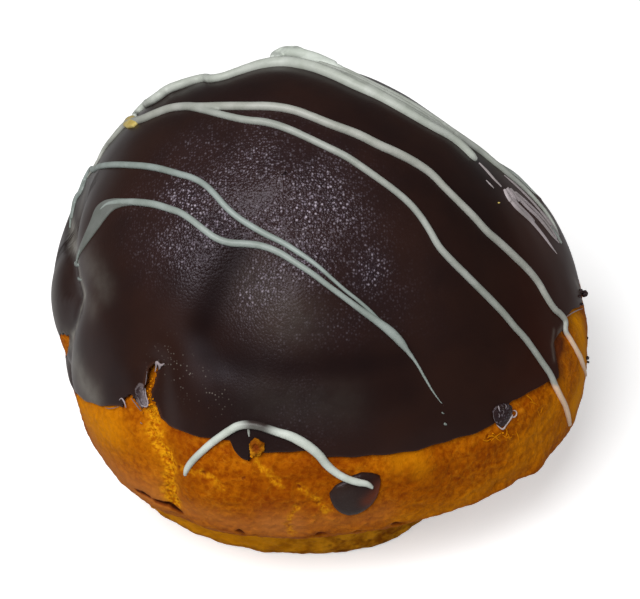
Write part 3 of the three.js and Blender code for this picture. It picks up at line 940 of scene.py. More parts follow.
# %% The routes of the lines
# picture point, half width and, where a line doesn't just rest on the skin, its middle's height
LINES = {
    "crown_line": [
        (131, 113, 0.5, 0.15), (138, 107, 0.62, 0.25), (147, 101.7, 0.72, 0.45),
        (157, 95.2, 0.8, 0.55), (167, 90, 0.8, 0.55), (178, 85.4, 0.8, 0.55), (202, 80, 0.78, 0.36),
        (213, 78.6, 0.74, 0.36), (224, 76.4, 0.72, 0.34), (235, 72.8, 0.76, 0.32),
        (247, 68.9, 0.84, 0.3), (262, 65, 1.0, 0.3), (280, 62.6, 1.05, 0.34),
        (304, 64.8, 1.0, 0.4), (330, 73.2, 0.95, 0.4), (355, 85, 0.9, 0.35), (380, 97, 0.86),
        (405, 111, 0.8), (430, 125.5, 0.76), (454, 139.5, 0.74), (464, 148, 0.74), (472, 156, 0.7),
        (476, 160, 0.45),
    ],
    "far_line": [
        (322, 63, 0.7), (345, 72, 0.72), (372, 85.5, 0.76), (400, 99, 0.74), (427, 115, 0.72),
        (452, 132, 0.7), (469, 143.5, 0.68), (481.5, 152.5, 0.66), (491.5, 160.8, 0.62),
        (501.5, 168.8, 0.6), (510, 176.2, 0.56), (520, 184.8, 0.52), (528.6, 193, 0.46),
        (537, 202, 0.42), (545.7, 212.5, 0.4), (552.9, 223.5, 0.34), (558.6, 233.5, 0.2),
    ],
    "stem_line": [
        (86, 177, 0.22), (94, 158, 0.34), (100, 147, 0.44), (112, 134.5, 0.54), (124, 126, 0.6),
        (131, 122, 0.62), (143, 119, 0.72), (156, 113.5, 0.74), (170, 108.5, 0.72),
        (186, 106.5, 0.72), (198, 107, 0.74), (223.6, 106.3, 0.72), (249.4, 106.3, 0.72),
        (270, 106.6, 0.74), (292.5, 110, 0.72), (310, 116, 0.7), (330, 124, 0.72),
        (359, 135, 0.74), (379, 145, 0.74), (399, 154, 0.74), (419, 165, 0.7), (432, 174.5, 0.66),
        (444, 187, 0.62), (458, 201, 0.62), (472, 215, 0.64), (486, 230.5, 0.64),
        (500, 243, 0.66), (514, 256, 0.66), (528, 270, 0.64), (538, 282.5, 0.62),
        (546, 296.5, 0.6), (554, 308.5, 0.58), (562, 316, 0.56), (565.5, 322, 0.5),
        (565.4, 330, 0.44), (569.6, 338, 0.46), (574.8, 347.5, 0.5), (579.6, 356.5, 0.5),
        (583, 365.5, 0.42), (586, 376, 0.26),
    ],
    "lower_fork": [
        (186, 106.5, 0.6), (206, 110.6, 0.6), (225, 115.5, 0.6), (246, 120, 0.62),
        (266.6, 122.5, 0.64), (288, 129, 0.62), (306, 137, 0.6), (326, 146.5, 0.6),
        (346, 156.5, 0.6), (362.4, 167.3, 0.6), (379, 179, 0.58), (395.6, 191.3, 0.56),
        (409, 203, 0.56), (419, 214.5, 0.56), (429, 229.4, 0.56), (439, 246.5, 0.58),
        (451, 260, 0.6), (465, 274, 0.6), (479, 288, 0.6), (493, 302, 0.6), (505, 315, 0.58),
        (514, 326, 0.56), (524, 337, 0.56), (533.3, 349.4, 0.54), (542.4, 362.7, 0.54),
        (550.6, 375, 0.54), (555, 385, 0.54), (560, 395.3, 0.52), (565, 405.5, 0.5),
        (568, 415.7, 0.48), (569.5, 425, 0.4),
    ],
    "upper_pair": [
        (70, 228, 0.16), (71, 216, 0.24), (74.5, 203, 0.32), (79, 190, 0.4), (86, 178, 0.48),
        (94.4, 169.5, 0.5), (106.5, 165.3, 0.52), (129, 165, 0.54), (154.7, 167.6, 0.56),
        (180, 174.3, 0.54), (193.3, 178.3, 0.52), (205, 185, 0.5), (215, 194.6, 0.5),
        (225, 206, 0.5), (236.4, 216.2, 0.5), (251.3, 226, 0.5), (266.2, 234.4, 0.5),
        (282.8, 242.7, 0.46), (297.7, 252, 0.44), (311, 261, 0.38), (321.2, 269, 0.34),
        (332.8, 279.4, 0.31), (345.4, 290.4, 0.3), (358.8, 301, 0.3), (370.3, 311.2, 0.3),
        (379, 320, 0.26),
    ],
    "lower_pair": [
        (77, 266, 0.2), (78, 257, 0.24), (82, 246, 0.24), (87, 236, 0.24), (92.5, 225, 0.24),
        (99, 213, 0.28), (106, 205.5, 0.36), (115, 202.5, 0.46), (128, 201.8, 0.56),
        (143, 202.7, 0.6), (156, 204.7, 0.6), (170, 209, 0.58), (180, 212.5, 0.56),
        (191.6, 220, 0.54), (205, 230.5, 0.54), (216.5, 238.3, 0.56), (230, 242.7, 0.58),
        (246, 243.8, 0.58), (263, 246.3, 0.56), (279.5, 252.8, 0.54), (296, 263, 0.5),
        (312.2, 273.6, 0.48), (328, 285.5, 0.46), (344.4, 297.6, 0.46), (361.2, 310.2, 0.5),
        (378.6, 322.3, 0.62), (392, 333, 0.74), (401, 342.5, 0.66), (407.5, 351, 0.4),
        (416, 362.5, 0.26), (425.5, 379, 0.24), (432, 390, 0.2), (438.3, 399, 0.16),
        (444.6, 407, 0.1),
    ],
    "low_arc": [
        (184.8, 476, 0.3), (186.7, 469.3, 0.5), (191.8, 461.6, 0.56), (202, 451.4, 0.58),
        (212.2, 442.5, 0.6), (221.2, 436, 0.62), (230, 430.2, 0.64), (238, 426, 0.66),
        (247, 424.6, 0.66), (257, 425.6, 0.66), (266, 428.2, 0.64), (278.6, 432.5, 0.66),
        (289, 435.6, 0.74), (299, 440.4, 0.78), (309.4, 447, 0.76), (319.3, 455.5, 0.72),
        (326.5, 464.5, 0.68), (335, 472, 0.62, 0.3), (346, 478.5, 0.6, 0.75),
        (358.6, 482.6, 0.58, 1.0), (367, 484.4, 0.5, 1.05), (373, 488, 0.3, 1.0),
    ],
}
BODY = {
    "crown_line": 0.88, "far_line": 0.85, "stem_line": 0.7, "lower_fork": 0.6, "upper_pair": 0.35,
    "lower_pair": 0.4, "low_arc": 1.0,
}
LINE_SCALE = 0.86
white_parts = [
    picture_strand(name, bends, scale=LINE_SCALE, body=BODY[name]) for name, bends in LINES.items()
]
thin_pair = white_parts.pop(list(LINES).index("upper_pair"))  # so thin that it goes with the films
print(len(LINES), "lines")

# %% [markdown]
# Where the bag came off a line, it left a wide ragged smear, a heap of loops on the crown, and on
# the right shoulder a few streaks that a finger or a wrapper dragged out. A smear is made of thin
# strands side by side, sunk deeper into the skin, so that the remesh melts them into one low film.

# %% Smears, streaks and the heap on the crown
SMEARS = {
    "left_smear": (0.3, [
        [(86, 181, 0.3), (81.5, 189, 0.5), (77, 199, 0.55), (74, 209, 0.45), (72, 219, 0.3)],
    ]),
    "shoulder_streaks": (0.1, [
        [(506, 190, 0.4), (510.5, 195.5, 0.46), (516, 203, 0.3)],
        [(509, 189.5, 0.4), (513.5, 195, 0.46), (519, 201.5, 0.3)],
        [(506, 188.6, 0.4), (510, 194, 0.5), (514, 200, 0.44)],
        [(504, 190, 0.36), (506.5, 196, 0.42), (510, 202, 0.4)],
        [(512, 193, 0.4), (520, 201, 0.42), (528, 209, 0.38), (536, 216.5, 0.38),
         (543.5, 225, 0.36), (551, 234.5, 0.32), (559, 243, 0.16)],
        [(508, 198, 0.4), (514, 206, 0.44), (522, 213.5, 0.42), (530, 221, 0.38),
         (537.5, 229.5, 0.34), (544, 237.5, 0.3), (550, 245.5, 0.24), (557, 254.3, 0.1)],
        [(511, 199, 0.34), (519, 207, 0.36), (528, 215.5, 0.3), (534, 221.5, 0.2)],
        [(504, 175.5, 0.14), (513, 183.5, 0.26), (523, 193, 0.28), (533, 203.5, 0.3),
         (541, 213, 0.3), (549, 223.5, 0.28), (556.5, 234, 0.22), (561, 242, 0.14)],
        [(536, 207, 0.2), (545, 216.5, 0.26), (552.5, 226.5, 0.26), (558.5, 236, 0.24)],
        [(515, 192, 0.2), (524, 200.5, 0.28), (534, 210, 0.28), (543, 219.5, 0.28),
         (551, 230, 0.26), (557, 239, 0.16)],
        [(478.6, 163, 0.2), (485.7, 170.5, 0.28), (492.9, 178.6, 0.26), (501.4, 187, 0.16)],
        [(485.7, 180, 0.12), (490, 184.6, 0.18), (494, 188.6, 0.12)],
    ]),
    "shoulder_top": (0.5, [
        [(484, 151, 0.3), (493, 159, 0.42), (503, 166.5, 0.42), (514, 175, 0.4), (526, 184, 0.34),
         (537, 194, 0.2)],
        [(551, 228, 0.24), (556, 235.5, 0.36), (561, 243.5, 0.26)],
    ]),
    "low_drip": (0.9, [[(248.3, 427.5, 0.22), (248.8, 432, 0.2), (249, 436.8, 0.1)]]),
}
# the smear where the lower line starts lies between two rails
LEFT_RAIL = [
    (76.5, 259), (80.6, 247), (86, 235), (92.6, 220.5), (97, 209.5), (101.5, 204.6), (111.5, 200.8),
    (126, 200),
]
RIGHT_RAIL = [
    (77.6, 259.5), (81.4, 251), (88, 241), (98.4, 226.5), (105, 217.5), (111.6, 210), (120, 205.6),
    (133, 203.8),
]
RAIL_WIDTHS = (0.14, 0.2, 0.26, 0.3, 0.3, 0.3, 0.3, 0.24)
RAIL_STRANDS = 9
film_parts = [thin_pair]
for i, share in enumerate(np.linspace(0, 1, RAIL_STRANDS)):
    between = np.array(LEFT_RAIL) * (1 - share) + np.array(RIGHT_RAIL) * share
    bends = [(x, y, width) for (x, y), width in zip(between, RAIL_WIDTHS)]
    film_parts.append(picture_strand(f"wedge_{i}", bends, lift=0.05, body=0.22))
for name, (body, streaks) in SMEARS.items():
    for i, bends in enumerate(streaks):
        film_parts.append(picture_strand(f"{name}_{i}", bends, lift=-0.15, body=body))

# picture point and half width of single dots
DOTS = [(77, 264, 0.42), (79.5, 279, 0.26), (442.5, 413, 0.13), (445, 424, 0.2), (141, 423, 0.1)]
for i, (x, y, width) in enumerate(DOTS):
    bends = [(x - 1, y - 1, width * 0.7), (x, y, width), (x + 2, y + 1, width * 0.6)]
    film_parts.append(picture_strand(f"dot_{i}", bends, lift=0, body=0.3))

# the two crown lines are melted together by strands that lie in the furrow between them
BETWEEN = [
    [(318, 67.5, 0.6, 0.45), (345, 77.5, 0.66, 0.45), (372, 90.5, 0.66, 0.4),
     (400, 105.5, 0.62, 0.35), (427, 120.5, 0.52, 0.25), (452, 136.5, 0.4, 0.1)],
    [(318, 64.5, 0.6, 0.5), (345, 74.5, 0.66, 0.5), (372, 87.5, 0.66, 0.45), (400, 102, 0.62, 0.4),
     (427, 117.5, 0.52, 0.3), (452, 134.5, 0.4, 0.1)],
]
for i, bends in enumerate(BETWEEN):
    white_parts.append(picture_strand(f"between_{i}", bends, body=0.85))
# the skyline under the heap: across and down the picture
SKYLINE = ((262, 290, 320, 338), (63, 60.5, 66, 72))
# each bend: across the picture, how far behind the skyline, height above the skin, half width
HEAP = [
    [(266, 0.4, -0.3, 0.3), (275, 0.6, 0.1, 0.5), (284, 0.7, 0.5, 0.62), (297, 0.8, 0.5, 0.62),
     (310, 0.8, 0.2, 0.5), (322, 0.7, 0.3, 0.55), (340, 0.6, 0.2, 0.45)],
    [(277, 0.7, 0.85, 0.34), (282, 0.9, 1.05, 0.44), (291, 1.0, 1.06, 0.46), (300, 1.0, 1.1, 0.44),
     (305, 1.0, 0.95, 0.34)],
    [(306, 1.4, 0.4, 0.4), (314, 1.4, 0.55, 0.36), (322, 1.3, 0.45, 0.34), (332, 1.1, 0.3, 0.3)],
    [(272, 1.2, 0.0, 0.5), (279, 1.4, 0.3, 0.7), (290, 1.5, 0.4, 0.8), (312, 1.4, 0.3, 0.75),
     (335, 1.2, 0.1, 0.6)],
]
for i, bends in enumerate(HEAP):
    knots = []
    for x, behind, height, width in bends:
        place, normal = spot(x, float(np.interp(x, *SKYLINE)))
        knots.append((place + np.array([0, behind, 0]) + normal * height, width))
    white_parts.append(strand(f"heap_{i}", knots, body=1.0))
print(len(white_parts), "thick and", len(film_parts), "thin parts of white chocolate so far")

# %% [markdown]
# On the far side the piping went on in the same way. Its two lines are given by directions and
# heights round the bun.

# %% The far side's lines
FAR_LINES = [
    [(156, 32), (142, 37), (118, 42), (90, 46), (60, 43), (38, 38), (24, 32)],
    [(127, 31), (108, 37), (86, 38), (66, 34), (50, 29)],
]


def on_skin(azimuth, height):
    """The guide's point at an azimuth and about a height, and the way it faces."""
    toward = skin(np.array([float(azimuth)]), np.array([float(climb_to(height))]))[0] - HEART
    direction = Vector(toward).normalized()
    hit, place, normal, _ = guide.ray_cast(Vector(HEART * MM), direction)
    return np.array(place) / MM, np.array(normal)


FAR_WIDTH = 0.58
FAR_END_WIDTH = 0.3
for i, bends in enumerate(FAR_LINES):
    widths = [FAR_END_WIDTH] + [FAR_WIDTH] * (len(bends) - 2) + [FAR_END_WIDTH]
    places = [on_skin(azimuth, height) for azimuth, height in bends]
    knots = [(place + normal * w * STRAND_LIFT, w) for (place, normal), w in zip(places, widths)]
    white_parts.append(strand(f"far_{i}", knots, body=0.6))

piped = joined("piped_lines", white_parts)
melted(piped, voxel=0.18, rounds=3)
films = joined("smeared_streaks", film_parts)
melted(films, voxel=0.11, rounds=2)

# %% [markdown]
# ## Torn edges, crumbs and a blister
#
# Where the coat tore, its edge turned up in thin flakes. Their pale, mauve colour is a painted
# highlight, the light they catch. They are strands too, thinner than the piped ones.

# %% Torn edges
# how strong the painted highlight is, and the bends, each with its half width and perhaps its height
TORN_EDGES = [
    (0.6, [(155, 372, 0.07), (156.3, 366, 0.12), (156.6, 361.8, 0.14), (159, 364, 0.2),
           (161, 365, 0.2), (164.5, 363.5, 0.08)]),
    (0.5, [(158.5, 364, 0.16), (160, 367, 0.18), (159, 369.5, 0.08)]),
    (0.3, [(147, 371, 0.05), (146.4, 378, 0.09), (145.2, 385, 0.06)]),
    (0.7, [(145, 388, 0.06), (146, 396, 0.1), (147.8, 403, 0.13), (146.5, 406.5, 0.12),
           (142, 405.5, 0.08)]),
    (0.35, [(137, 392, 0.06), (138.5, 399, 0.09), (141.5, 405.5, 0.08), (143.5, 409, 0.05)]),
    (0.7, [(119, 400.5, 0.06), (121.5, 398.4, 0.1), (123.5, 400.5, 0.12), (125, 404, 0.11),
           (126, 408, 0.06)]),
    (0.3, [(131, 398, 0.05), (134, 402, 0.08), (138, 407, 0.09), (141.5, 411.5, 0.05)]),
    (0.35, [(105, 407.5, 0.05), (109, 408.5, 0.08), (114, 408, 0.07), (119, 406.5, 0.05)]),
    (0.8, [(496.5, 424.5, 0.05), (500, 427.6, 0.1), (503, 429, 0.14), (505.4, 426, 0.12),
           (508, 422, 0.16), (510.6, 418, 0.2), (512.6, 414.6, 0.12)]),
    (0.8, [(511, 416.5, 0.1), (514.4, 417, 0.12), (516.6, 414, 0.1), (515.6, 411, 0.1),
           (513, 410.6, 0.06)]),
    (0.3, [(494, 410, 0.04, 0.3), (493.4, 414, 0.06, 0.25), (494.6, 420, 0.06, 0.2),
           (497, 424, 0.05, 0.1)]),
    (0.7, [(498.3, 405.5, 0.06, 0.5), (499, 408, 0.12, 0.52), (499.8, 411.5, 0.06, 0.52)]),
    (0.4, [(498.6, 413.5, 0.06, 0.5), (499.6, 415.6, 0.08, 0.52), (499, 418, 0.05, 0.5)]),
    (0.4, [(505, 404.3, 0.06, 0.5), (506.4, 406.4, 0.1, 0.5), (505.4, 408.8, 0.06, 0.5)]),
    (0.3, [(502, 410, 0.05, 0.52), (504, 412, 0.07, 0.52), (503, 414, 0.05, 0.52)]),
    (0.6, [(563.5, 320, 0.05), (569, 315, 0.08), (576, 311, 0.09), (583, 308.5, 0.06)]),
]
torn_edges = joined("torn_edges", [
    picture_strand(f"torn_{i}", bends, lift=0.9, body=paleness)
    for i, (paleness, bends) in enumerate(TORN_EDGES)
])
melted(torn_edges, voxel=0.07, rounds=2)

# %% [markdown]
# Crumbs and nubs are balls whose surface is pushed in and out by noise, so that no two are alike.
# The blister, with its broken rim, and the flake beside the notch are blobs.

# %% Nuggets


def nugget(name, x, y, radius, height=0.1, stretch=(1, 1, 1), seed=0, roughness=0.3):
    """A rough little ball, seen at a picture point and resting on the skin."""
    piece = added(name, bpy.ops.mesh.primitive_ico_sphere_add, subdivisions=3, radius=1)
    ball = points_of(piece) * MM
    uneven = 1 + roughness * noise_at(ball, 0.7, seed + 40)
    put_points(piece, lifted(x, y, height) + ball * radius * np.array(stretch) * uneven[:, None])
    smooth(piece)
    return piece


BLISTER_OUTLINE = [
    (492.5, 411), (495, 406), (500, 403.5), (507, 403), (511.5, 406), (512, 412), (509, 419),
    (505, 424.5), (500.5, 427), (496, 424), (493, 418),
]
FLAKE_OUTLINE = [
    (136, 390), (139, 386.5), (143, 387), (145, 393), (146, 399), (147.8, 404), (146, 406.8),
    (141.5, 405.5), (138, 400), (136, 395),
]
nuggets = [
    blob("blister", BLISTER_OUTLINE, rise=0.5, sink=0.2, flat=0.6),
    blob("flake", FLAKE_OUTLINE, rise=0.16, sink=0.25, rings=12, flat=0.5),
]
# picture point, radius and height of the dark nubs
DARK_NUBS = [
    (586, 293.5, 0.5, 0.4), (582.5, 291, 0.34, 0.12), (582, 304, 0.22, 0.1), (587, 338, 0.2, 0.12),
    (587.5, 358, 0.28, 0.2), (283, 172, 0.34, 0.22), (588, 362, 0.2, 0.12), (580, 296, 0.2, 0.1),
]
for i, (x, y, radius, height) in enumerate(DARK_NUBS):
    nuggets.append(nugget(f"nub_{i}", x, y, radius, height, seed=i, roughness=0.25))
nubs = joined("blister_and_nubs", nuggets)
count(nubs)

# %% [markdown]
# The crumb nub is a small lump of crust that broke through the coat's edge. Its balls are melted
# into one lump. The loose crumbs lie in the notch and round the blister, with fine hairs of dough.

# %% The crumb nub, the crumbs and the custard
# picture point and radius
CRUMB_NUB = [
    (253, 443.5, 0.5), (257, 441.5, 0.46), (260.5, 444, 0.5), (261, 449, 0.5), (258.5, 453, 0.46),
    (254.5, 452, 0.5), (252, 448.5, 0.4), (256.5, 447.5, 0.36), (252, 455.5, 0.26),
]
nub_parts = [
    nugget(f"nub_part_{i}", x, y, radius, 0.05, seed=i, roughness=0.7)
    for i, (x, y, radius) in enumerate(CRUMB_NUB)
]
nub = joined("crumb_nub", nub_parts)
keep_value(nub, "body", np.zeros(len(nub.data.vertices)))
melted(nub, voxel=0.09, rounds=5)
CRUMBS = [
    (489, 436, 0.1), (493, 433.5, 0.12), (498, 437, 0.1), (503, 433, 0.12), (508, 437, 0.1),
    (513, 434.5, 0.08), (506, 440, 0.08), (518, 420, 0.1), (416, 454, 0.1),
    (152, 404, 0.17), (148.5, 399, 0.15), (150.5, 411, 0.17), (155, 413, 0.14), (147.5, 391, 0.14),
    (151, 386, 0.12), (152.5, 379, 0.12), (156, 420, 0.14), (150, 422, 0.13), (154, 429, 0.12),
    (149.5, 395, 0.13), (150, 389, 0.12), (153, 399, 0.14), (149.5, 405, 0.15), (153.5, 409, 0.12),
    (157, 409, 0.14), (158, 414, 0.13), (152.5, 416, 0.14), (153.5, 383, 0.11), (151, 381, 0.1),
]
HAIRS = [
    [(487, 438), (492, 436), (497, 439)], [(491, 441), (496, 436.5), (501, 433)],
    [(494, 434), (497, 438.5), (500, 441)], [(503, 435.5), (508, 438), (512, 437)],
    [(506, 432), (509, 436), (510, 440)], [(516, 431.5), (518, 436), (519, 441)],
    [(527, 395.5), (531, 399), (534, 404)], [(530, 402), (535, 403.5), (539, 408)],
    [(535, 405), (538, 411), (540, 417)], [(540, 403), (542, 408), (541, 413)],
    [(483, 440), (487, 441), (491, 439)], [(505, 428), (507, 431.5), (506, 436)],
]

crumb_parts = []
for i, (x, y, radius) in enumerate(CRUMBS):
    stretch = (1 + 0.3 * math.sin(i * 2.3), 1, 0.8 + 0.2 * math.cos(i * 1.7))
    crumb_parts.append(nugget(f"crumb_{i}", x, y, radius, radius * 0.4, stretch, seed=i))
for i, route in enumerate(HAIRS):
    bends = [(x, y, width) for (x, y), width in zip(route, (0.05, 0.09, 0.05))]
    crumb_parts.append(picture_strand(f"hair_{i}", bends, lift=0.3, sides=2))
crumb_parts.append(nub)
crumbs = joined("crumbs", crumb_parts)
count(crumbs)

CUSTARD_OUTLINE = [
    (124, 127), (125.5, 121.5), (130, 117.5), (135, 117), (138.5, 119.5), (138, 124),
    (134, 127.5), (128, 129),
]
custard = joined("custard_flecks", [
    blob("custard_smear", CUSTARD_OUTLINE, rise=0.66, sink=0.1, rings=14, flat=0.5),
    nugget("custard_speck", 498.3, 202.8, 0.11, 0.0, (2.4, 1, 0.8), seed=5),
])
count(custard)

# %% [markdown]
# ## Materials
#
# A material is built from small nodes. A few helpers write them down briefly: `feed` links a socket
# or sets it, `reckon` does one sum, `mix` and `layered` lay colours over each other by shares, and
# `value_of` reads the numbers that the brushes left on the points. The shader itself always stays
# in the material.

# %% Node helpers
PER_METRE = 1000.0  # textures count in metres, so a size in millimetres is turned over into this


def colour(red, green, blue):
    """A colour given as it looks on the screen, 0 to 255, turned into the light it stands for."""
    def light(level):
        share = level / 255
        return share / 12.92 if share <= 0.04045 else ((share + 0.055) / 1.055) ** 2.4
    return (light(red), light(green), light(blue), 1.0)


def feed(tree, socket, value):
    """Links a socket to another node's output, or sets it to a fixed value."""
    if isinstance(value, bpy.types.NodeSocket):
        tree.links.new(value, socket)
    else:
        socket.default_value = value


def add_node(tree, kind, choices=None, **inputs):
    """Adds a node, makes its choices and feeds its named inputs."""
    made = tree.nodes.new(kind)
    for name, value in (choices or {}).items():
        setattr(made, name, value)
    for name, value in inputs.items():
        feed(tree, made.inputs[name], value)
    return made


def reckon(tree, operation, *values, kind="ShaderNodeMath"):
    """One sum on values, or on vectors with the vector kind."""
    made = add_node(tree, kind, {"operation": operation})
    for socket, value in zip(made.inputs, values):
        feed(tree, socket, value)
    return made.outputs[0]


def times(tree, *values):
    product = values[0]
    for value in values[1:]:
        product = reckon(tree, "MULTIPLY", product, value)
    return product


def plus(tree, *values):
    total = values[0]
    for value in values[1:]:
        total = reckon(tree, "ADD", total, value)
    return total


def curve_share(tree, value, low, high, to_low=0.0, to_high=1.0):
    """Carries a value from one span over to another, with soft ends."""
    made = add_node(tree, "ShaderNodeMapRange", {"interpolation_type": "SMOOTHSTEP"})
    for socket, number in zip(made.inputs, (value, low, high, to_low, to_high)):
        feed(tree, socket, number)
    return made.outputs[0]


def mix(tree, share, first, second, way="MIX"):
    """Lays the second colour over the first by a share."""
    made = add_node(tree, "ShaderNodeMix", {"data_type": "RGBA", "blend_type": way})
    for number, value in ((0, share), (6, first), (7, second)):
        feed(tree, made.inputs[number], value)
    return made.outputs[2]


def value_of(tree, name):
    return add_node(tree, "ShaderNodeAttribute", {"attribute_name": name}).outputs["Fac"]


def layered(tree, paint, layers):
    """Lays colours over a paint in turn; a share is a value, or the name of the piece's numbers."""
    for share, levels in layers:
        share = value_of(tree, share) if isinstance(share, str) else share
        paint = mix(tree, share, paint, colour(*levels))
    return paint


# %% [markdown]
# Four effects come up again and again, so they are node groups with named sockets. `mottle` mixes
# two colours in soft patches. `grain` gives a fine height for a bump. `veins` gives thin lines in a
# net, and `specks` gives scattered dots, of which only a share is drawn.

# %% The shared groups


def group_tree(name, inputs, outputs):
    tree = bpy.data.node_groups.new(name, "ShaderNodeTree")
    for socket, kind, value in inputs:
        made = tree.interface.new_socket(socket, in_out="INPUT", socket_type=kind)
        if value is not None:
            made.default_value = value
    for socket, kind in outputs:
        tree.interface.new_socket(socket, in_out="OUTPUT", socket_type=kind)
    start = tree.nodes.new("NodeGroupInput")
    end = tree.nodes.new("NodeGroupOutput")
    return tree, start.outputs, end.inputs


mottle, given, result = group_tree(
    "mottle",
    [("Place", "NodeSocketVector", None), ("Size", "NodeSocketFloat", 4.0),
     ("First", "NodeSocketColor", None), ("Second", "NodeSocketColor", None),
     ("Sharpness", "NodeSocketFloat", 0.2)],
    [("Colour", "NodeSocketColor"), ("Share", "NodeSocketFloat")],
)
scale = reckon(mottle, "DIVIDE", PER_METRE, given["Size"])
cloud = add_node(
    mottle, "ShaderNodeTexNoise", Vector=given["Place"], Scale=scale, Detail=4.0, Roughness=0.55
)
low = reckon(mottle, "SUBTRACT", 0.5, given["Sharpness"])
high = reckon(mottle, "ADD", 0.5, given["Sharpness"])
share = curve_share(mottle, cloud.outputs[0], low, high)
feed(mottle, result["Colour"], mix(mottle, share, given["First"], given["Second"]))
feed(mottle, result["Share"], share)

grain, given, result = group_tree(
    "grain",
    [("Place", "NodeSocketVector", None), ("Size", "NodeSocketFloat", 0.6),
     ("Roundness", "NodeSocketFloat", 0.5), ("Fuzz", "NodeSocketFloat", 1.0)],
    [("Height", "NodeSocketFloat")],
)
scale = reckon(grain, "DIVIDE", PER_METRE, given["Size"])
cells = add_node(grain, "ShaderNodeTexVoronoi", Vector=given["Place"], Scale=scale)
reach = cells.outputs["Distance"]
fuzz = add_node(grain, "ShaderNodeTexNoise", Vector=given["Place"], Scale=scale, Detail=3.0)
rough = times(grain, fuzz.outputs[0], given["Fuzz"])
dome = times(grain, reach, reach, given["Roundness"])
feed(grain, result["Height"], reckon(grain, "SUBTRACT", rough, dome))

veins, given, result = group_tree(
    "veins",
    [("Place", "NodeSocketVector", None), ("Size", "NodeSocketFloat", 1.6),
     ("Warp", "NodeSocketFloat", 0.8), ("Width", "NodeSocketFloat", 0.08)],
    [("Line", "NodeSocketFloat")],
)
WARP_REACH = 0.003  # metres
scale = reckon(veins, "DIVIDE", PER_METRE, given["Size"])
wander = add_node(veins, "ShaderNodeTexNoise", Vector=given["Place"], Scale=scale, Detail=2.0)
VECTORS = "ShaderNodeVectorMath"
centred = reckon(veins, "SUBTRACT", wander.outputs["Color"], (0.5, 0.5, 0.5), kind=VECTORS)
shift = add_node(
    veins, VECTORS, {"operation": "SCALE"}, Vector=centred,
    Scale=times(veins, given["Warp"], WARP_REACH),
)
moved = reckon(veins, "ADD", given["Place"], shift.outputs[0], kind=VECTORS)
cells = add_node(
    veins, "ShaderNodeTexVoronoi", {"feature": "DISTANCE_TO_EDGE"}, Vector=moved, Scale=scale
)
line = curve_share(veins, cells.outputs["Distance"], 0.0, given["Width"], 1.0, 0.0)
feed(veins, result["Line"], line)

specks, given, result = group_tree(
    "specks",
    [("Place", "NodeSocketVector", None), ("Size", "NodeSocketFloat", 0.8),
     ("Radius", "NodeSocketFloat", 0.3), ("Share", "NodeSocketFloat", 0.5)],
    [("Mask", "NodeSocketFloat")],
)
scale = reckon(specks, "DIVIDE", PER_METRE, given["Size"])
cells = add_node(specks, "ShaderNodeTexVoronoi", Vector=given["Place"], Scale=scale)
dot = curve_share(specks, cells.outputs["Distance"], 0.0, given["Radius"], 1.0, 0.0)
lot = add_node(specks, "ShaderNodeSeparateColor", Color=cells.outputs["Color"])
drawn = reckon(specks, "LESS_THAN", lot.outputs[0], given["Share"])
feed(specks, result["Mask"], times(specks, dot, drawn))
print("groups:", [tree.name for tree in bpy.data.node_groups])

# %% [markdown]
# Every finish starts with its shader and with a node that gives the place on the object, so that
# the patterns sit in the piece and don't swim when it is turned. `strokes` paints numbers onto a
# piece's points along routes, and `set_values` hands them to the finish.

# %% Starting a finish


def new_finish(name, roughness, specular, **sockets):
    """A material with its shader and the place on the object."""
    finish = bpy.data.materials.new(name)
    finish.use_nodes = True
    tree = finish.node_tree
    shader = tree.nodes["Principled BSDF"]
    settings = {"Roughness": roughness, "Specular IOR Level": specular, **sockets}
    for socket, value in settings.items():
        shader.inputs[socket.replace("_", " ")].default_value = value
    place = tree.nodes.new("ShaderNodeTexCoord").outputs["Object"]
    return finish, tree, shader, place


def group_node(tree, group, **inputs):
    return add_node(tree, "ShaderNodeGroup", {"node_tree": group}, **inputs).outputs


def mottled(tree, place, size, first, second, sharpness):
    return group_node(
        tree, mottle, Place=place, Size=size, First=colour(*first), Second=colour(*second),
        Sharpness=sharpness,
    )


def flecked(tree, place, size, radius, share):
    return group_node(tree, specks, Place=place, Size=size, Radius=radius, Share=share)["Mask"]


def bump(tree, shader, height, strength, distance):
    """Dents the light on the surface by a height; the surface itself stays."""
    made = add_node(
        tree, "ShaderNodeBump", Strength=strength, Distance=distance * MM, Height=height
    )
    tree.links.new(made.outputs[0], shader.inputs["Normal"])


def dress(piece, finish):
    piece.data.materials.clear()
    piece.data.materials.append(finish)


def set_values(piece, **values):
    """Gives a piece the numbers that its finish reads, one for all its points or one for each."""
    for name, value in values.items():
        keep_value(piece, name, np.broadcast_to(value, len(piece.data.vertices)))


def strokes(points, routes):
    """The strongest touch of several strokes, each a picture route, a spread and a strength."""
    touch = np.zeros(len(points))
    for route, spread, strength in routes:
        touch = np.maximum(touch, strength * bell(nearest(points, spots(route)), spread))
    return touch
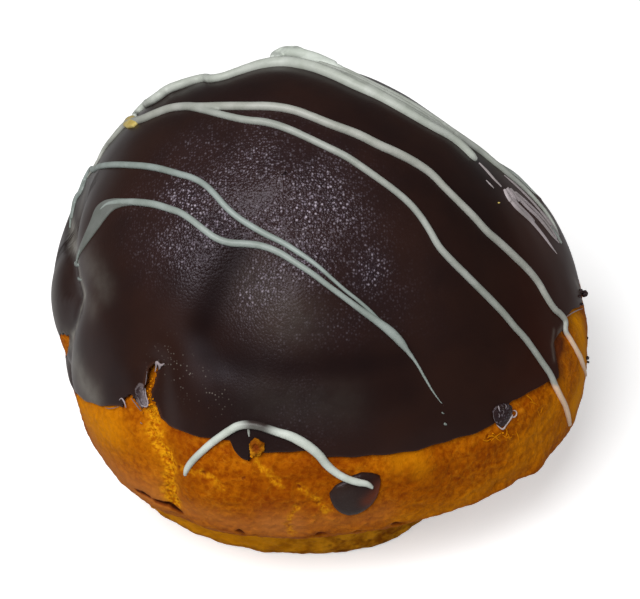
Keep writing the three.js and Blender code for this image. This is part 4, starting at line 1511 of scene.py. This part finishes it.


# %% [markdown]
# Baked choux is golden brown where it stretched thin, deeper orange brown in between, and olive
# brown on the foot. The colours follow the numbers that the brushes left on the points: the web's
# fibres are lighter and the split is yellow. Painted light is laid on too: a tan painted sheen along
# the lip and on the lower left, a pale painted highlight along the lip in front, and painted shade
# that makes the slits, the pinholes and the crease under the lip nearly black.

# %% The crust's finish
baked, tree, shader, place = new_finish("baked_crust", roughness=0.6, specular=0.02)
patches = mottled(tree, place, 5.5, (140, 60, 1), (176, 94, 2), 0.14)
deeper = mottled(tree, place, 1.7, (132, 52, 1), (172, 88, 1), 0.14)
speckled = mottled(tree, place, 0.75, (98, 38, 0), (212, 128, 12), 0.2)
scales = group_node(tree, veins, Place=place, Size=2.6, Warp=1.6, Width=0.035)["Line"]
creases = group_node(tree, veins, Place=place, Size=0.9, Warp=0.8, Width=0.08)["Line"]
paint = mix(tree, 0.5, patches["Colour"], deeper["Colour"])
paint = mix(tree, 0.34, paint, speckled["Colour"])
# over the mottle: lighter fibres and web, painted shade below the coat's edge, a tan painted sheen, a
# pale painted highlight along the lip, and the brown film
paint = layered(tree, paint, [
    (times(tree, creases, patches["Share"], 0.2), (208, 132, 16)),
    (times(tree, scales, deeper["Share"], 0.22), (224, 152, 40)),
    (curve_share(tree, value_of(tree, "web"), 0.5, 1.15, 0.0, 0.4), (206, 130, 20)),
    ("deep", (112, 40, 1)), ("tan", (176, 106, 48)), ("lip", (226, 160, 84)), ("film", (84, 40, 18)),
])

olive = mottled(tree, place, 2.2, (116, 60, 6), (212, 146, 26), 0.16)["Colour"]
porous = times(tree, flecked(tree, place, 1.1, 0.5, 0.3), 0.7)
paint = mix(tree, value_of(tree, "foot"), paint, layered(tree, olive, [(porous, (74, 32, 6))]))
paint = layered(tree, paint, [("gold", (216, 138, 8))])

crumbly = mottled(tree, place, 0.5, (222, 152, 16), (166, 86, 4), 0.16)
pits = times(tree, flecked(tree, place, 0.62, 0.4, 0.3), 0.85)
pitted = layered(tree, crumbly["Colour"], [(pits, (96, 34, 2))])
paint = mix(tree, curve_share(tree, value_of(tree, "split"), 0.1, 0.9), paint, pitted)
# painted shade, down to nearly black, in the slits, the pinholes, the crease under the lip and the
# crumb nub's middle
paint = layered(tree, paint, [
    (curve_share(tree, value_of(tree, "dark"), 0.08, 0.5, 0.0, 0.8), (112, 44, 12)),
    (curve_share(tree, value_of(tree, "dark"), 0.4, 0.95), (50, 18, 4)),
])
tree.links.new(paint, shader.inputs["Base Color"])

fuzz = group_node(tree, grain, Place=place, Size=0.5, Roundness=0.25)["Height"]
pebbled = times(tree, speckled["Share"], 0.9)
crumb_relief = times(tree, value_of(tree, "split"), crumbly["Share"], -1.2)
netted = plus(tree, times(tree, scales, 0.4), times(tree, creases, 0.3))
bump(tree, shader, plus(tree, fuzz, pebbled, netted, crumb_relief), 0.5, 0.12)

# %% [markdown]
# The bun isn't one brown all over. Where the dough stretched last it stayed golden. A tan painted
# sheen lies along the lip, on the lower left and at the right edge, and painted shade darkens the
# crust just below the coat's edge. Melted chocolate left a brown film in a few places. Each of these
# is a set of brush strokes along the skin.

# %% Where the crust's colours lie
# in each list: a route, its spread in millimetres and its strength
# a tan painted sheen
TAN_ROUTES = [
    ([(92, 436), (100, 452), (114, 470), (132, 486), (158, 498)], 2.4, 0.85),
    ([(180, 506), (205, 515), (235, 524), (262, 529)], 1.5, 0.6),
    ([(270, 526), (292, 526)], 2.0, 0.85),
    ([(312, 524), (350, 520), (380, 514)], 1.6, 0.45), ([(580, 400), (587, 375), (588, 345)], 1.2, 0.5),
]
GOLD_ROUTES = [
    ([(84, 412), (98, 428), (110, 430)], 2.6, 0.55), (SPLIT[3:], 1.4, 0.25),
    ([(400, 520), (450, 508), (500, 478), (540, 448), (572, 412)], 1.2, 0.3),
    ([(575, 405), (583, 380), (584, 350), (578, 322)], 1.8, 0.9),
    ([(400, 462), (414, 454), (420, 470)], 1.2, 0.4),
    ([(560, 395), (548, 420), (520, 447)], 1.6, 0.35),
]
# painted shade on the crust just below the coat's edge
DEEP_CRUST = [
    ([(262, 500), (285, 480), (322, 468), (335, 452)], 3.2, 0.5), ([(410, 478), (440, 476)], 3.0, 0.5),
    ([(480, 448), (500, 440)], 1.8, 0.3), ([(180, 438), (188, 460), (192, 490)], 2.4, 0.4),
    ([(128, 436), (140, 450)], 1.6, 0.25),
]
FILM_ROUTES = [
    ([(558, 374), (556, 358), (560, 342)], 1.1, 1.2), ([(575, 316), (568, 322)], 0.7, 0.5),
    ([(252, 448), (256, 446)], 0.7, 0.3),
]
# tan painted sheen along the lip's edge and along the routes
tan = np.maximum(0.5 * lip_edge, strokes(crust_points, TAN_ROUTES))
gold = strokes(crust_points, GOLD_ROUTES)
# a pale painted highlight along the front of the lip
lip = 0.95 * lip_edge * bell((crust_azimuth + 88) / 26, 1)
on_foot = smooth_step(crust_points[:, 2], LIP_HEIGHT + 0.1, LIP_HEIGHT - 0.8)
golden_foot = 0.7 * on_foot * bell((crust_azimuth + 114) / 20, 1)
# painted shade in the slits, the pinholes and the crease under the lip
holes = np.maximum(np.maximum(dark, pin), 0.75 * crease)
set_values(
    crust, web=crust_web, tan=tan * (1 - on_foot), foot=on_foot * 0.9,
    gold=np.maximum(gold * (1 - on_foot), golden_foot), split=np.maximum(split, branches * 0.6),
    dark=np.clip(holes, 0, 1), deep=strokes(crust_points, DEEP_CRUST),
    film=strokes(crust_points, FILM_ROUTES), lip=lip,
)
# the crumb nub's hollow middle gets painted shade too
crumb_reach = np.linalg.norm(points_of(crumbs) - lifted(255.5, 447.5, 0.3), axis=1)
on_nub = smooth_step(crumb_reach, 1.5, 1.2)
set_values(
    crumbs, web=0.6 * (1 - on_nub), tan=0, gold=0.6 * (1 - on_nub), foot=0.9 * on_nub,
    split=0.35 * (1 - on_nub), dark=0.55 * on_nub * bell(crumb_reach, 0.5), deep=0, film=0, lip=0,
)
dress(crust, baked)
dress(crumbs, baked)
print("the crust's golden share is", round(float(gold.mean()), 3))

# %% [markdown]
# Set dark chocolate is nearly black brown with a satin skin. On the upper front it sweated and
# dried again, which left a skin of tiny round beads. Their bumps catch the light, and painted sparks
# and glints, with painted shade in the gaps between them and a faint painted sheen, make them
# glitter. Towards the rim the coat is thin and the crust's brown shines through.

# %% The chocolate's finish
chocolate, tree, shader, place = new_finish(
    "dark_chocolate", roughness=0.3, specular=0.2, Specular_Tint=(0.94, 0.88, 1, 1)
)
body = mottled(tree, place, 14.0, (29, 17, 15), (42, 24, 18), 0.25)["Colour"]
thin = curve_share(tree, value_of(tree, "rim_way"), 0.05, 0.6, 0.6, 0.0)
bloomed = times(tree, flecked(tree, place, 0.42, 0.34, 0.4), value_of(tree, "bloom"))
cloudy = group_node(tree, mottle, Place=place, Size=1.6, Sharpness=0.3)["Share"]
# painted sheen, broken up a little by a mottle
hazed = times(tree, value_of(tree, "haze"), plus(tree, times(tree, cloudy, 0.5), 0.6))
beaded = value_of(tree, "beads")
strongly = times(tree, beaded, beaded)
# painted shade in the gaps between the beads, and painted sparks and glints on them
gaps = times(tree, strongly, flecked(tree, place, 0.37, 0.7, 0.5), 0.8)
sparks = times(tree, strongly, flecked(tree, place, 0.33, 0.6, 0.42), 0.74)
glints = times(tree, strongly, flecked(tree, place, 0.4, 0.55, 0.2), 0.8)
# over the body: the thin rim, bloom specks, painted sheen, a faint painted sheen on the beads, their
# painted glitter, painted shade, amber, and pale painted highlights
paint = layered(tree, body, [
    (thin, (70, 40, 24)), (bloomed, (112, 104, 96)), (hazed, (122, 118, 110)),
    (times(tree, beaded, 0.2), (74, 64, 74)), (gaps, (14, 7, 11)), (sparks, (170, 158, 174)),
    (glints, (218, 206, 220)), ("deep", (18, 10, 11)), ("amber", (120, 50, 12)),
    ("pale", (176, 164, 168)),
    (curve_share(tree, value_of(tree, "pale"), 0.7, 1), (232, 218, 206)),
])
tree.links.new(paint, shader.inputs["Base Color"])
fine_beads = group_node(tree, grain, Place=place, Size=0.32, Roundness=1.0, Fuzz=0.9)["Height"]
bump(tree, shader, times(tree, fine_beads, beaded), 1.0, 0.16)
tree.links.new(curve_share(tree, beaded, 0, 1, 0.3, 0.2), shader.inputs["Roughness"])
tree.links.new(value_of(tree, "shine"), shader.inputs["Specular IOR Level"])

# %% [markdown]
# The beads and their painted glitter lie in a wide band on the upper front and thin out in
# patches. No beads lie in the valley and in two low bands across the front, which are darkened with
# painted shade. A grey painted sheen follows the folds on the left, the edges on the right and the
# mound, and the torn tongue gets a faint painted highlight.

# %% Where the chocolate's colours lie
# picture point, spread and share of the beads and of their painted glitter
BEADED = [
    ((205, 165), 5.0, 0.7), ((245, 172), 6.0, 0.9), ((190, 205), 6.0, 1.0), ((215, 230), 4.5, 1.0),
    ((270, 205), 7.0, 0.78), ((314, 200), 5.5, 1.0), ((330, 235), 5.0, 0.8), ((185, 250), 3.0, 0.7),
    ((300, 255), 4.5, 0.9), ((365, 267), 2.6, 1.0), ((390, 250), 5.0, 0.14), ((395, 300), 5.0, 0.25),
    ((262, 290), 4.2, 0.9), ((300, 300), 4.5, 0.5), ((340, 320), 4.5, 0.35), ((285, 330), 4.5, 0.45),
    ((300, 400), 5.0, 0.4),
]
# in each list: a route, its spread in millimetres and its strength
# painted shade in the valley and in two low bands across the front
DEEP_ROUTES = [
    ([(236, 252), (222, 275), (208, 312), (200, 336), (206, 354), (220, 366)], 1.6, 0.7),
    ([(215, 362), (250, 368), (300, 366), (350, 366), (400, 360)], 1.7, 0.6),
    ([(250, 398), (300, 400), (350, 396), (400, 385)], 2.4, 0.4),
]
# painted sheen and highlights where the coat mirrors light: the fold and crease on the left, the edges
# on the right, the mound and the low front
HAZE_ROUTES = [
    ([(71, 345), (76, 365), (83, 384), (93, 396)], 1.5, 0.55),
    ([(x + 2.8, y) for x, y in CREASE], 0.5, 1.2),
    ([(86, 262), (96, 274), (104, 290)], 1.3, 0.22), ([(84, 296), (93, 308)], 1.1, 0.2),
    ([(54, 275), (53, 300), (57, 325)], 1.2, 0.25), ([(84, 195), (80, 212)], 0.7, 0.35),
    ([(576, 282), (580, 292)], 0.5, 0.55), ([(566, 322), (559, 332), (556, 350)], 0.25, 0.45),
    ([(568, 318), (582, 309)], 0.25, 0.5), ([(256, 286), (272, 300), (290, 320)], 2.8, 0.14),
    ([(262, 396), (300, 404), (345, 402)], 2.0, 0.1), ([(554, 330), (552, 345), (554, 360)], 0.2, 0.35),
]
# the tongue gets a faint painted highlight
TONGUE = [(135, 389), (139, 383), (143.5, 384), (144, 394), (143, 401), (141, 409), (136.5, 402)]
BLOOM_ROUTE = [(168, 362), (185, 372), (205, 380), (216, 392)]

coat_points = points_of(coat)
# the painted shade keeps the beads out
deep = strokes(coat_points, DEEP_ROUTES)
bead_share = np.zeros(len(coat_points))
for (x, y), spread, share in BEADED:
    bead_share = np.maximum(bead_share, share * dab(coat_points, x, y, spread))
bead_share *= (1 - deep) * np.clip(0.8 + 0.6 * noise_at(coat_points, 5.0, 21), 0.4, 1)

# the right flank mirrors less, and so do the valley and the middle of the mound
shine = 0.18 * (1 - 0.7 * smooth_step(coat_points[:, 0], 14, 34))
valley_reach = nearest(coat_points, spots(VALLEY + [(207, 354)]))
shine *= (1 - 0.6 * dab(coat_points, 305, 300, 4.0)) * (1 - 0.8 * bell(valley_reach, 2.6))
set_values(
    coat, beads=bead_share, pale=0.2 * (inside(seen(coat_points), TONGUE) & (coat_points[:, 1] < 0)),
    bloom=bell(nearest(coat_points, spots(BLOOM_ROUTE)), 1.8), haze=strokes(coat_points, HAZE_ROUTES),
    deep=deep, shine=shine, amber=0.09 * smooth_step(coat_points[:, 0], 24, 35),
)

# the drop is so thin at its lower right edge that the crust shines through it
PLAIN = {
    "rim_way": 6, "beads": 0, "pale": 0, "bloom": 0, "haze": 0, "deep": 0, "shine": 0.18, "amber": 0,
}
drop_points = points_of(drop)
amber = 0.9 * bell(nearest(drop_points, spots([(367, 497), (374, 491), (379, 486)])), 0.75)
# a faint painted sheen on the drop's left half
drop_haze = 0.08 * dab(drop_points, 346, 498, 2.2)
set_values(drop, **{**PLAIN, "beads": 0.1, "haze": drop_haze, "shine": 0.12, "amber": amber})
# a painted highlight on the flake's right edge and on the torn edges
nub_seen = seen(points_of(nubs))
on_flake = inside(nub_seen, [(130, 380), (152, 380), (152, 410), (130, 410)])
flake_pale = 0.4 * on_flake * smooth_step(nub_seen[:, 0], 137, 148)
set_values(nubs, **{**PLAIN, "beads": 0.5, "pale": flake_pale, "bloom": 0.8})
set_values(torn_edges, **{**PLAIN, "pale": kept_value(torn_edges, "thickness")})
for piece in (coat, drop, nubs, torn_edges):
    dress(piece, chocolate)
print("the beads' mean share on the coat is", round(float(bead_share.mean()), 3))

# %% [markdown]
# White chocolate is greenish white over the dark coat and a little pink where it lies on the crust.
# A thin film of it lets the dark through, so its colour follows the thickness that the remesh
# carried over. Near the front the low arc picked up some dark chocolate, which stained it.

# %% The white chocolate's finish
white, tree, shader, place = new_finish("white_chocolate", roughness=0.42, specular=0.3)
ramp = add_node(tree, "ShaderNodeValToRGB", Fac=value_of(tree, "thickness"))
BODY_COLOURS = [
    (0.0, (148, 134, 138)), (0.1, (174, 164, 166)), (0.22, (108, 111, 107)), (0.35, (144, 154, 150)),
    (0.7, (166, 167, 160)), (1.0, (200, 206, 198)),
]
while len(ramp.color_ramp.elements) < len(BODY_COLOURS):
    ramp.color_ramp.elements.new(0.5)
for stop, (at, levels) in zip(ramp.color_ramp.elements, BODY_COLOURS):
    stop.position = at
    stop.color = colour(*levels)
cloudy = mottled(tree, place, 3.0, (226, 228, 224), (255, 255, 255), 0.2)["Colour"]
paint = mix(tree, 1.0, ramp.outputs[0], cloudy, way="MULTIPLY")
paint = layered(tree, paint, [("over_crust", (226, 194, 164)), ("stain", (52, 42, 40))])
tree.links.new(paint, shader.inputs["Base Color"])
dust = group_node(tree, grain, Place=place, Size=0.4, Roundness=0.4)["Height"]
bump(tree, shader, dust, 0.25, 0.05)

for piece in (piped, films):
    line_points = points_of(piece)
    line_azimuth = azimuth_and_climb(line_points)[0]
    below_rim = rim_height(line_azimuth) - line_points[:, 2]
    on_right = smooth_step(line_azimuth, -60, -45) * (line_azimuth < 60)
    over_crust = 0.85 * smooth_step(below_rim, -0.3, 0.6) * on_right
    stain = np.minimum(1, 1.15 * bell(nearest(line_points, spots([(253, 422), (263, 425)])), 1.0))
    stain = np.maximum(stain, 0.4 * dab(line_points, 373, 487, 0.7))
    set_values(piece, over_crust=over_crust, stain=stain)
    dress(piece, white)

custard_finish, tree, shader, place = new_finish("custard", roughness=0.45, specular=0.25)
body = mottled(tree, place, 1.0, (182, 156, 74), (200, 182, 112), 0.2)["Colour"]
tree.links.new(body, shader.inputs["Base Color"])
dress(custard, custard_finish)
print("finishes:", [finish.name for finish in (baked, chocolate, white, custard_finish)])

# %% [markdown]
# ## Floor and light
#
# The floor is plain and pale. It glows a little for the camera, so that it stays white, and is a
# dull grey for everything else, so that it doesn't light the bun from below. The main light is a
# large softbox high above, in front and to the left, which puts the broad sheen on the coat. A weak
# lamp fills the right side and isn't mirrored in the chocolate.

# %% The floor, the lights and the world
floor = added("floor", bpy.ops.mesh.primitive_plane_add, size=20, location=(0, 0, 0))
floor_paint, tree, shader, place = new_finish(
    "floor_paint", roughness=0.9, specular=0.1, Base_Color=(0.9, 0.9, 0.9, 1),
    Emission_Color=(1, 1, 1, 1), Emission_Strength=0.45,
)
dim = add_node(tree, "ShaderNodeBsdfDiffuse", Color=(0.55, 0.55, 0.55, 1))
camera_ray = add_node(tree, "ShaderNodeLightPath").outputs["Is Camera Ray"]
either = add_node(tree, "ShaderNodeMixShader")
for socket, value in zip(either.inputs, (camera_ray, dim.outputs[0], shader.outputs[0])):
    tree.links.new(value, socket)
tree.links.new(either.outputs[0], tree.nodes["Material Output"].inputs["Surface"])
dress(floor, floor_paint)

# name, place and size in millimetres, and power
LIGHTS = [
    ("key_softbox", (-148, -211, 394), 300, 2.4),
    ("right_fill", (420, -160, 330), 360, 0.5),
]
LIT_HEIGHT = 25 * MM
for name, where, size, power in LIGHTS:
    lamp = added(name, bpy.ops.object.light_add, type="AREA", location=Vector(where) * MM)
    lamp.data.size = size * MM
    lamp.data.energy = power
    lamp.visible_glossy = name == "key_softbox"
    toward = Vector((0, 0, LIT_HEIGHT)) - lamp.location
    lamp.rotation_euler = toward.to_track_quat("-Z", "Y").to_euler()

world = bpy.data.worlds.new("studio")
bpy.context.scene.world = world
world.use_nodes = True
air = world.node_tree
background = air.nodes["Background"]
background.inputs["Color"].default_value = (1, 1, 1, 1)
camera_ray = add_node(air, "ShaderNodeLightPath").outputs["Is Camera Ray"]
air.links.new(curve_share(air, camera_ray, 0, 1, 0.1, 1.0), background.inputs["Strength"])
bpy.context.scene.view_settings.view_transform = "Standard"
print(len(LIGHTS), "lamps")

# %% [markdown]
# ## Handing over
#
# Last, each piece is hung on the body that carries it, and the pieces are listed by the material they
# stand for. The plain solids that the crust, the coat and the drop take the place of are hidden. The
# guide has done its work.

# %% Handing the pieces to the frame
SLOTS = {
    "baked_crust": [crust, crumbs], "dark_chocolate": [coat, drop, nubs, torn_edges],
    "white_chocolate": [piped, films], "custard": [custard],
}
for slot, pieces in SLOTS.items():
    for piece in pieces:
        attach(piece, "root")
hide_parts("choux_bun")
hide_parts("chocolate_coat")
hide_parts("chocolate_drop")
bpy.data.objects.remove(guide)
